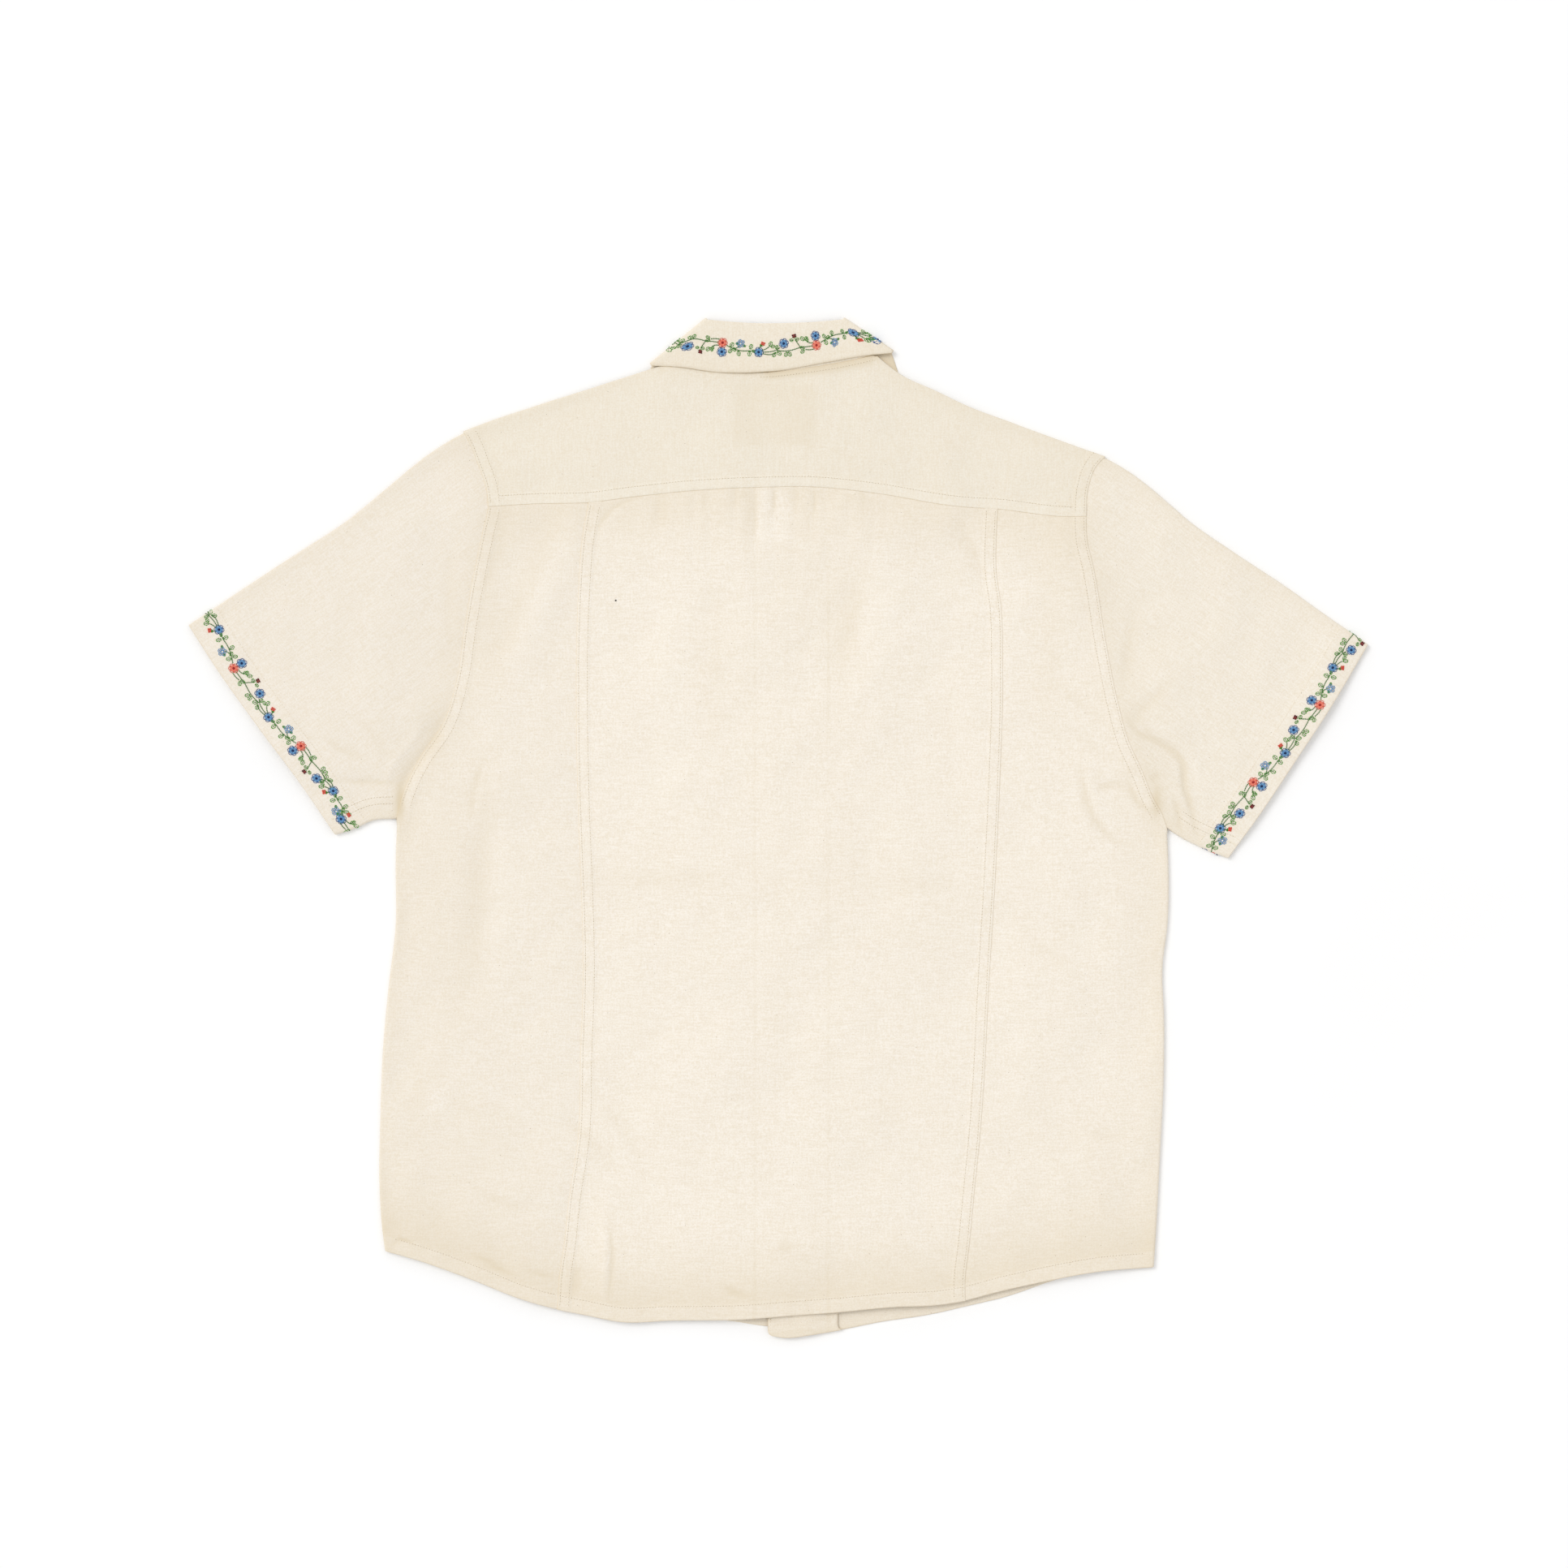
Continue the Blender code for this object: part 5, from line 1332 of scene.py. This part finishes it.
def flower_strokes(kind, middle, size, turn):
    """A flower in outline and filling stitches."""
    outline, filling, heart = FLOWER_THREADS[kind]
    scale = size / 3.75
    strokes = []
    if kind == "open":
        loop = ((0.7, 0), (1.9, -1.25), (3.2, -1.2), (3.7, 0), (3.2, 1.2), (1.9, 1.25), (0.7, 0))
        for petal in range(5):
            angle = turn + 72 * petal
            strokes += sewn(outline, 0.27, loop, middle, angle, scale)
            strokes += sewn(filling, 0.22, ((1.5, 0.3), (3, -0.2)), middle, angle, scale)
        return strokes
    edge = ((1, -0.55), (2.2, -1.2), (3.2, -1.4), (3.8, -0.6), (3.8, 0.6), (3.2, 1.4), (2.2, 1.2))
    for petal in range(6):
        angle = turn + 60 * petal
        for offset in (-0.8, 0.05, 0.85):
            rib = ((0.6, offset * 0.3), (3.2, offset))
            strokes += sewn(filling, 0.34, rib, middle, angle, scale)
        strokes += sewn(outline, 0.23, edge, middle, angle, scale)
    for angle in (0, 60, 120):
        strokes += sewn(heart, 0.48, ((-1.15, 0), (1.15, 0)), middle, turn + angle, scale)
    return strokes


def bud_strokes(kind, middle, angle):
    """A small closed bud with a green cup under it."""
    colour, other = ("dark_red", "red") if kind == "dark" else ("coral", "coral")
    strokes = []
    for offset, tone in ((-1.05, colour), (-0.35, colour), (0.35, other), (1.05, colour)):
        petal = ((-0.9, offset * 0.7), (0.5, offset * 1.3), (1.8, offset * 0.9))
        strokes += sewn(tone, 0.48, petal, middle, angle)
    cup = ((-0.2, -1.5), (-1.1, -0.7), (-1.5, 0), (-1.1, 0.7), (-0.2, 1.5))
    return strokes + sewn("green", 0.2, cup, middle, angle)


def leaf_strokes(base, angle, length):
    """A leaf in outline with most of a rib."""
    outline = ((0, 0), (0.26, 0.28), (0.66, 0.33), (1, 0), (0.66, -0.33), (0.26, -0.28), (0, 0))
    strokes = sewn("green", 0.26, outline, base, angle, length)
    return strokes + sewn("dark_green", 0.2, ((0.1, 0), (0.8, 0.02)), base, angle, length)


def stem_strokes(points):
    """Running stitches along a stem, and the thinner ones that fill the gaps between them."""
    line = Line(np.array(points).reshape(-1, 2))
    count = max(1, round(line.length / 1.75))
    places = line.at(np.linspace(0, 1, 2 * count + 1))
    return [
        ("dark_green", size, (*places[k], *places[k + 1]))
        for first, size in ((0, 0.34), (1, 0.27)) for k in range(first, 2 * count, 2)
    ]


def vine_strokes(number, moved, small):
    """All strokes of one repeat, its motifs moved along. In a small repeat a bud stands for the
    coral flower."""
    strokes = []

    def put(s):
        return float(np.interp(VINE_REPEAT * number + s, *moved))

    for stem in STEMS:
        strokes += stem_strokes([value if k % 2 else put(value) for k, value in enumerate(stem)])
    for s, t, angle, length in LEAVES:
        strokes += leaf_strokes((put(s), t), angle, length)
    for kind, s, t, angle in BUDS:
        strokes += bud_strokes(kind, (put(s), t), angle)
    for turn, (kind, s, t, size) in enumerate(FLOWERS):
        middle = (put(s), -t if small and s < 1 else t)
        if small and kind == "coral":
            strokes += bud_strokes(kind, middle, 90)
        else:
            strokes += flower_strokes(kind, middle, size, 17 * turn)
    return strokes


def embroider(name, chart, place, direction, span):
    """Repeats of the vine along a chart, from the coral flower at a plan point."""
    start = chart.along_of(*place)
    offsets, distances = zip(*VINE_AXIS[name])
    kinds = list(THREAD)[3:]
    parts = []
    for number in range(-5, 6):
        strokes = vine_strokes(number, VINE_MOVED[name], (name, number) == SMALL_REPEAT)
        colours = np.array([kinds.index("thread_" + stroke[0]) for stroke in strokes])
        radii = np.array([stroke[1] for stroke in strokes]) * THREAD_SIZE
        ends = np.array([stroke[2] for stroke in strokes])
        side = direction if number % 2 == 0 else -direction
        from_start = direction * ends[:, [0, 2]]
        s = start + from_start
        t = np.interp(from_start, offsets, distances) + side * ends[:, [1, 3]]
        keep = (s.min(axis=1) > span[0]) & (s.max(axis=1) < span[1])
        for colour in range(len(kinds)):
            mine = keep & (colours == colour)
            if mine.any():
                begin, normal = chart.at(s[mine, 0], t[mine, 0])
                finish = chart.at(s[mine, 1], t[mine, 1])[0]
                size = radii[mine]
                sunk = np.where(normal[:, 2] < -0.3, RISE_BELOW - 1.35 * size, 0.25 * size)
                lift = normal * sunk[:, None]
                parts.append((*capsules(begin + lift, finish + lift, normal, size), colour))
    add_threads("vine_" + name, parts, kinds)


class Nodes:
    """Short calls to make a material's nodes and links."""

    def __init__(self, name):
        self.material = bpy.data.materials.new(name)
        self.material.use_nodes = True
        self.tree = self.material.node_tree
        self.place = self.add("TexCoord", {})["Object"]

    def fill(self, node, inputs):
        """Sets inputs of a node, given by name or number, to values or to other nodes' outputs."""
        for key, value in inputs.items():
            if isinstance(value, bpy.types.NodeSocket):
                self.tree.links.new(value, node.inputs[key])
            else:
                node.inputs[key].default_value = value

    def add(self, kind, inputs, **settings):
        node = self.tree.nodes.new("ShaderNode" + kind)
        for name, value in settings.items():
            setattr(node, name, value)
        self.fill(node, inputs)
        return node.outputs

    def math(self, operation, first, second):
        return self.add("Math", {0: first, 1: second}, operation=operation)[0]

    def times(self, first, second):
        return self.math("MULTIPLY", first, second)

    def weighed(self, first, first_weight, second, second_weight):
        return self.math("ADD", self.times(first, first_weight), self.times(second, second_weight))

    def noise(self, scale, detail, roughness=0.5, vector=None):
        inputs = {"Scale": scale, "Detail": detail, "Roughness": roughness}
        return self.add("TexNoise", {**inputs, "Vector": vector or self.place})["Fac"]

    def mapped(self, vector, scale, turn=0):
        inputs = {"Vector": vector, "Scale": scale, "Rotation": (0, 0, turn)}
        return self.add("Mapping", inputs)["Vector"]

    def remap(self, value, low, high, to_low, to_high):
        return self.add("MapRange", {0: value, 1: low, 2: high, 3: to_low, 4: to_high})["Result"]

    def mix(self, factor, first, second):
        return self.add("Mix", {0: factor, 6: first, 7: second}, data_type="RGBA")[2]

    def attribute(self, name):
        return self.add("Attribute", {}, attribute_name=name)["Fac"]

    def bump(self, strength, distance, height):
        return self.add("Bump", {"Strength": strength, "Distance": distance, "Height": height})["Normal"]

    def done(self, inputs):
        """The material, with these inputs of its shader."""
        self.fill(self.tree.nodes["Principled BSDF"], inputs)
        return self.material


def linear(red, green, blue):
    """A colour given as it looks on a screen, 0 to 255, as the shader's own numbers."""
    parts = [value / 255 for value in (red, green, blue)]
    parts = [part / 12.92 if part <= 0.04045 else ((part + 0.055) / 1.055) ** 2.4 for part in parts]
    return (*parts, 1)


CLOTH_LIGHT = linear(254, 249, 238)
CLOTH_DARK = linear(226, 212, 188)
CLOTH_SHADE = linear(222, 208, 182)
# Colour of the painted shade along the cloth's folded rims
CLOTH_RIM_SHADE = linear(222, 194, 142)
FLECK_COLOUR = linear(96, 76, 58)


def cloth_material(name, turn, red, green, blue):
    """Plain weave of cotton and linen: threads of uneven thickness both ways, slubs and flecks, with the
    painted shade that its sheet carries.
    """
    nodes = Nodes(name + "_weave")
    grain = nodes.mapped(nodes.place, (1, 1, 1), turn)

    def streaks(scale, detail):
        return nodes.noise(1, detail, vector=nodes.mapped(grain, scale))

    threads = nodes.weighed(streaks((110, 1000, 60), 2), 0.62, streaks((1000, 140, 60), 2), 0.38)
    threads = nodes.weighed(threads, 0.52, nodes.noise(800, 1), 0.48)
    slubs = nodes.math(
        "ADD", nodes.remap(streaks((70, 640, 40), 1), 0.62, 0.76, 0, 1),
        nodes.remap(streaks((640, 90, 40), 1), 0.66, 0.8, 0, 1),
    )
    cells = nodes.add(
        "TexVoronoi", {"Scale": 85, "Vector": nodes.place}, feature="F1", voronoi_dimensions="2D",
    )
    speck = nodes.remap(cells["Distance"], 0.012, 0.034, 1, 0)
    chosen = nodes.add("SeparateColor", {0: cells["Color"]})[0]
    speck = nodes.times(speck, nodes.math("GREATER_THAN", chosen, 0.9))
    shade = nodes.attribute("shade")
    colour = linear(red, green, blue)
    for factor, over in (
        (nodes.times(nodes.remap(threads, 0.38, 0.62, 0, 1), 0.55), CLOTH_DARK),
        (nodes.times(slubs, 0.12), CLOTH_LIGHT),
        (nodes.remap(nodes.noise(26, 3, 0.6), 0.35, 0.75, 0, 0.035), CLOTH_DARK),
        # Painted shade from the shade attribute, paler where it is negative, and painted shade along the
        # rims
        (nodes.math("MAXIMUM", shade, 0), CLOTH_SHADE),
        (nodes.math("MAXIMUM", nodes.times(shade, -1), 0), CLOTH_LIGHT),
        (nodes.times(nodes.attribute("rim"), 0.45), CLOTH_RIM_SHADE),
        (nodes.times(speck, 0.5), FLECK_COLOUR),
    ):
        colour = nodes.mix(factor, colour, over)
    height = nodes.math("ADD", threads, nodes.times(slubs, 0.3))
    return nodes.done({
        "Base Color": colour, "Roughness": nodes.remap(threads, 0.3, 0.7, 0.82, 0.96),
        "Normal": nodes.bump(0.55, 0.00035, height), "Specular IOR Level": 0.2,
        "Sheen Weight": 0.12, "Sheen Roughness": 0.6,
    })


def thread_material(name, colour, dark, roughness=0.7, sheen=0.04):
    """Spun thread: fine twisted strands and a slight change of tone from place to place."""
    nodes = Nodes(name)
    strands = nodes.noise(2600, 1)
    tone = nodes.weighed(strands, 0.6, nodes.noise(240, 2), 0.6)
    tone = nodes.remap(tone, 0.35, 0.85, 0, 0.8)
    return nodes.done({
        "Base Color": nodes.mix(tone, linear(*colour), linear(*dark)),
        "Roughness": nodes.remap(strands, 0.3, 0.7, roughness - 0.1, roughness + 0.1),
        "Normal": nodes.bump(0.4, 0.0001, strands), "Sheen Weight": sheen, "Specular IOR Level": 0.25,
    })


def button_material():
    """Pale mother-of-pearl-like plastic with soft cloudy bands."""
    nodes = Nodes("button_pearl")
    bands = nodes.noise(1, 3, vector=nodes.mapped(nodes.place, (160, 420, 160)))
    tone = nodes.remap(bands, 0.3, 0.7, 0, 1)
    return nodes.done({
        "Base Color": nodes.mix(tone, linear(236, 226, 208), linear(208, 192, 166)),
        "Roughness": nodes.remap(bands, 0.3, 0.7, 0.18, 0.34), "Coat Weight": 0.25,
    })


def floor_material():
    nodes = Nodes("pale_floor")
    cloud = nodes.noise(3, 2)
    tone = nodes.remap(cloud, 0.3, 0.7, 0, 1)
    return nodes.done({
        "Base Color": nodes.mix(tone, linear(252, 252, 252), linear(249, 249, 249)),
        "Roughness": nodes.remap(cloud, 0.3, 0.7, 0.75, 0.85),
    })


# How far the weave is turned on each sheet, and its colour. The left back panel and left sleeve are a
# little darker than the right ones: painted shade against the stronger light on the left.
CLOTH = {name: cloth_material(name, *facts) for name, facts in {
    "back_centre": (0, 245, 238, 227), "back_side_left": (0.02, 242, 235, 224),
    "back_side_right": (-0.02, 245, 238, 227), "yoke": (1.571, 237, 230, 216),
    "collar": (1.571, 238, 230, 215), "sleeve_left": (-0.62, 239, 232, 221),
    "sleeve_right": (0.62, 241, 234, 222), "front_left": (0, 245, 238, 227),
    "front_right": (0, 245, 238, 227), "facing_right": (0, 245, 238, 227),
    "lapel_left": (0.3, 245, 238, 227), "lapel_right": (-0.3, 245, 238, 227),
}.items()}
# The first three threads are for seams, the others for embroidery
THREAD = {name: thread_material(name, *facts) for name, facts in {
    "seam_thread": ((250, 243, 228), (228, 212, 184)),
    # Needle holes: dark specks of painted shade
    "needle_hole_shade": ((190, 172, 140), (156, 138, 108), 0.8, 0),
    "dark_fibre": ((52, 46, 42), (30, 27, 25)),
    "thread_green": ((102, 168, 66), (68, 136, 46)),
    "thread_dark_green": ((66, 130, 52), (44, 100, 36)),
    "thread_blue": ((38, 92, 158), (24, 62, 120)),
    "thread_light_blue": ((122, 168, 206), (86, 136, 186)),
    "thread_deep_blue": ((22, 44, 92), (16, 32, 70)),
    "thread_coral": ((228, 92, 72), (202, 68, 54)),
    "thread_light_coral": ((242, 146, 124), (232, 116, 96)),
    "thread_dark_red": ((112, 14, 22), (66, 8, 14)),
    "thread_red": ((176, 40, 40), (128, 26, 30)),
}.items()}
BUTTON_PEARL = button_material()


def turned_solid(name, profile, sides):
    """A closed solid of revolution through radius and height pairs."""
    angles = np.linspace(0, 2 * math.pi, sides, endpoint=False)
    circle = np.column_stack([np.cos(angles), np.sin(angles), np.ones(sides)])
    points = np.concatenate([circle * (radius, radius, z) for radius, z in profile])
    faces = grid_faces(len(profile), sides, ring=True).tolist()
    last = (len(profile) - 1) * sides
    faces = [range(sides)[::-1]] + faces + [range(last, last + sides)]
    return add_mesh(name, points, faces, [BUTTON_PEARL])


def button_mesh():
    """A turned four-hole button with a dished face that looks down to the table."""
    profile = (
        (1.9, 0.62), (3.1, 0.52), (3.7, 0.3), (4.1, 0.08), (4.6, 0), (5.1, 0.05), (5.5, 0.3),
        (5.7, 0.7), (5.7, 1.15), (5.5, 1.5), (5, 1.72), (4.2, BUTTON_THICKNESS),
    )
    body = turned_solid("button_body", profile, 48)
    for angle in (45, 135, 225, 315):
        drill = turned_solid("drill", ((0.72, -1), (0.72, 3)), 16)
        hole_x = HOLE_PLACE * MM * math.cos(math.radians(angle))
        drill.location = (hole_x, HOLE_PLACE * MM * math.sin(math.radians(angle)), 0)
        cut = body.modifiers.new("hole", "BOOLEAN")
        cut.operation = "DIFFERENCE"
        cut.solver = "EXACT"
        cut.object = drill
        bpy.context.view_layer.update()
        done = body.evaluated_get(bpy.context.evaluated_depsgraph_get())
        mesh = bpy.data.meshes.new_from_object(done)
        body.modifiers.clear()
        body.data = mesh
        bpy.data.objects.remove(drill, do_unlink=True)
    mesh.set_sharp_from_angle(angle=math.radians(40))
    bpy.data.objects.remove(body, do_unlink=True)
    return mesh


def build_buttons():
    mesh = button_mesh()
    threads = []
    for number in range(BUTTON_COUNT):
        name = "button_" + str(number + 1)
        y = FIRST_BUTTON_Y - BUTTON_STEP * number
        item = link_object(name + "_pearl", mesh.copy())
        item.data.transform(Matrix.Translation((BUTTON_X * MM, y * MM, 0)))
        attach(item, "root")
        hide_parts(name)
        threads += button_threads(y) + buttonhole_threads(y)
    add_threads("button_threads", threads, ("seam_thread", "needle_hole_shade"))


def button_threads(y):
    """Two crossing threads through a button's holes, and its shank up to the cloth."""
    reach = HOLE_PLACE / math.sqrt(2)
    starts = []
    ends = []
    for offset in (-0.25, 0, 0.25):
        first = BUTTON_X - reach + offset
        last = BUTTON_X + reach + offset
        starts += [(first, y - reach, 0.55), (first, y + reach, 0.5)]
        ends += [(last, y + reach, 0.55), (last, y - reach, 0.5)]
    made = capsules(starts, ends, [[0, 0, -1]], 0.18)
    plan = [(BUTTON_X + dx, y + dy) for dx in (-reach, reach) for dy in (-reach, reach)]
    low = [(*place, 1.2) for place in plan]
    high = [(*place, 2.6) for place in plan]
    return [(*made, 0), (*capsules(low, high, [[1, 0, 0]], 0.3), 0)]


def buttonhole_threads(y):
    """The worked edges of an upright buttonhole in the left front, round its button."""
    half = 7.6
    steps = [(offset, y + step) for offset in (-1, 1) for step in np.arange(-half, half, 0.42)]
    bars = [(offset, y + end) for end in (-half - 0.3, half + 0.3) for offset in (-0.9, -0.3, 0.3, 0.9)]
    starts = [(BUTTON_X + offset * 0.25, place) for offset, place in steps]
    ends = [(BUTTON_X + offset * 1.35, place) for offset, place in steps]
    starts += [(BUTTON_X + offset, place - 0.6) for offset, place in bars]
    ends += [(BUTTON_X + offset, place + 0.6) for offset, place in bars]
    starts, ends = [on_cloth(plan, under_height, -WALL / 2) for plan in (starts, ends)]
    return [(*capsules(starts, ends, [[0, 0, -1]], 0.2), 0)]


# The camera, the photograph's size and scale, and its pixel at the frame's origin
CAMERA_LENS = 85
CAMERA_SENSOR = 36
PHOTO_SIZE = 1932
PIXEL = 0.62
PHOTO_ORIGIN = (959, 1019)
CAMERA_RISE = 4


def build_camera():
    """Straight above the point in the middle of the photograph's frame."""
    data = bpy.data.cameras.new("camera")
    data.lens = CAMERA_LENS
    data.sensor_width = data.sensor_height = CAMERA_SENSOR
    camera = link_object("camera", data)
    distance = PHOTO_SIZE * PIXEL * MM * CAMERA_LENS / CAMERA_SENSOR
    middle_x = (PHOTO_SIZE / 2 - PHOTO_ORIGIN[0]) * PIXEL * MM
    middle_y = (PHOTO_ORIGIN[1] - PHOTO_SIZE / 2) * PIXEL * MM
    camera.location = (middle_x, middle_y, distance + CAMERA_RISE * MM)
    bpy.context.scene.camera = camera


def build_light(name, place, size, power, colour):
    data = bpy.data.lights.new(name, "AREA")
    data.shape = "DISK"
    data.size = size
    data.energy = power
    data.color = colour
    light = link_object(name, data)
    light.location = place
    lean = math.atan2(math.hypot(place[0], place[1]), place[2])
    light.rotation_euler = (0, lean, math.atan2(place[1], place[0]))


# How far the floor lies under the shirt, and half its width in metres
FLOOR_GAP = 0.1
FLOOR_HALF = 20


def build_studio():
    world = bpy.data.worlds.new("studio")
    world.use_nodes = True
    background = world.node_tree.nodes["Background"]
    background.inputs["Color"].default_value = (1, 1, 1, 1)
    background.inputs["Strength"].default_value = 0.79
    bpy.context.scene.world = world
    bpy.context.scene.view_settings.view_transform = "Standard"
    build_light("key", (-30, 19.5, 40), 28, 9800, (1, 0.99, 0.975))
    build_light("fill", (25.2, -12.6, 34.2), 14.4, 810, (0.98, 0.99, 1))
    corners = ((-1, -1), (1, -1), (1, 1), (-1, 1))
    points = [(x * FLOOR_HALF / MM, y * FLOOR_HALF / MM, -FLOOR_GAP) for x, y in corners]
    floor = add_mesh("floor", points, [(0, 1, 2, 3)], [floor_material()])


# Where a coral flower lies, and how far the vine's middle is from the edge before and after it
CORAL_PLACE = {"left": (-415.6, 121.5), "right": (413.4, 93.1), "collar": (-42.2, 371.4)}
VINE_AXIS = {
    "left": ((-300, 14.1), (150, 14.1)),
    "right": ((-300, 12), (-60, 10.4), (0, 11.2), (77, 14.6), (140, 15)),
    "collar": ((-80, 18), (0, 19.2), (102, 16.4), (160, 16)),
}
# Where the motifs of the even chart are really sewn: places on the chart, then places on the cloth
VINE_MOVED = {
    "left": (
        (-260, -162, -154, -138.5, -122.6, -103.7, 45, 50.3, 300),
        (-244, -146, -139.4, -132.6, -118, -103.7, 45, 54, 303.7),
    ),
    "right": (
        (-300, -138.5, -122.6, -103.7, -94.5, -77, 0, 31.4, 50.3, 300),
        (-287, -125.5, -118.3, -101.4, -92.2, -75.8, 0, 30.2, 49.3, 299),
    ),
    "collar": (
        (-300, 0, 31.4, 50.3, 77, 92.5, 108.4, 111.6, 127.3, 300),
        (-305, 0, 29.5, 50.2, 76.5, 93, 110.3, 113.4, 122.5, 302),
    ),
}
# A repeat of the vine with a bud in place of its coral flower
SMALL_REPEAT = ("left", -2)
# The column of a sleeve's rings, in the underarm fold, where its vine begins and ends
UNDERARM_COLUMN = 95


def build_embroidery(sleeves, collar):
    for side, chart in sleeves.items():
        end = chart.along[UNDERARM_COLUMN]
        span = (end - chart.along[-1], end)
        embroider(side, chart, CORAL_PLACE[side], -1, span)
    embroider("collar", collar, CORAL_PLACE["collar"], 1, (6, collar.along[-1] - 4))


def main():
    build_back_centre()
    build_yoke()
    collar = build_collar()
    sleeves = {}
    for side in SIDES:
        build_back_side(side)
        sleeves[side] = build_sleeve(side)
        build_front(side)
        build_lapel(side)
    build_stitches(sleeves)
    build_embroidery(sleeves, collar)
    build_buttons()
    build_camera()
    build_studio()


main()
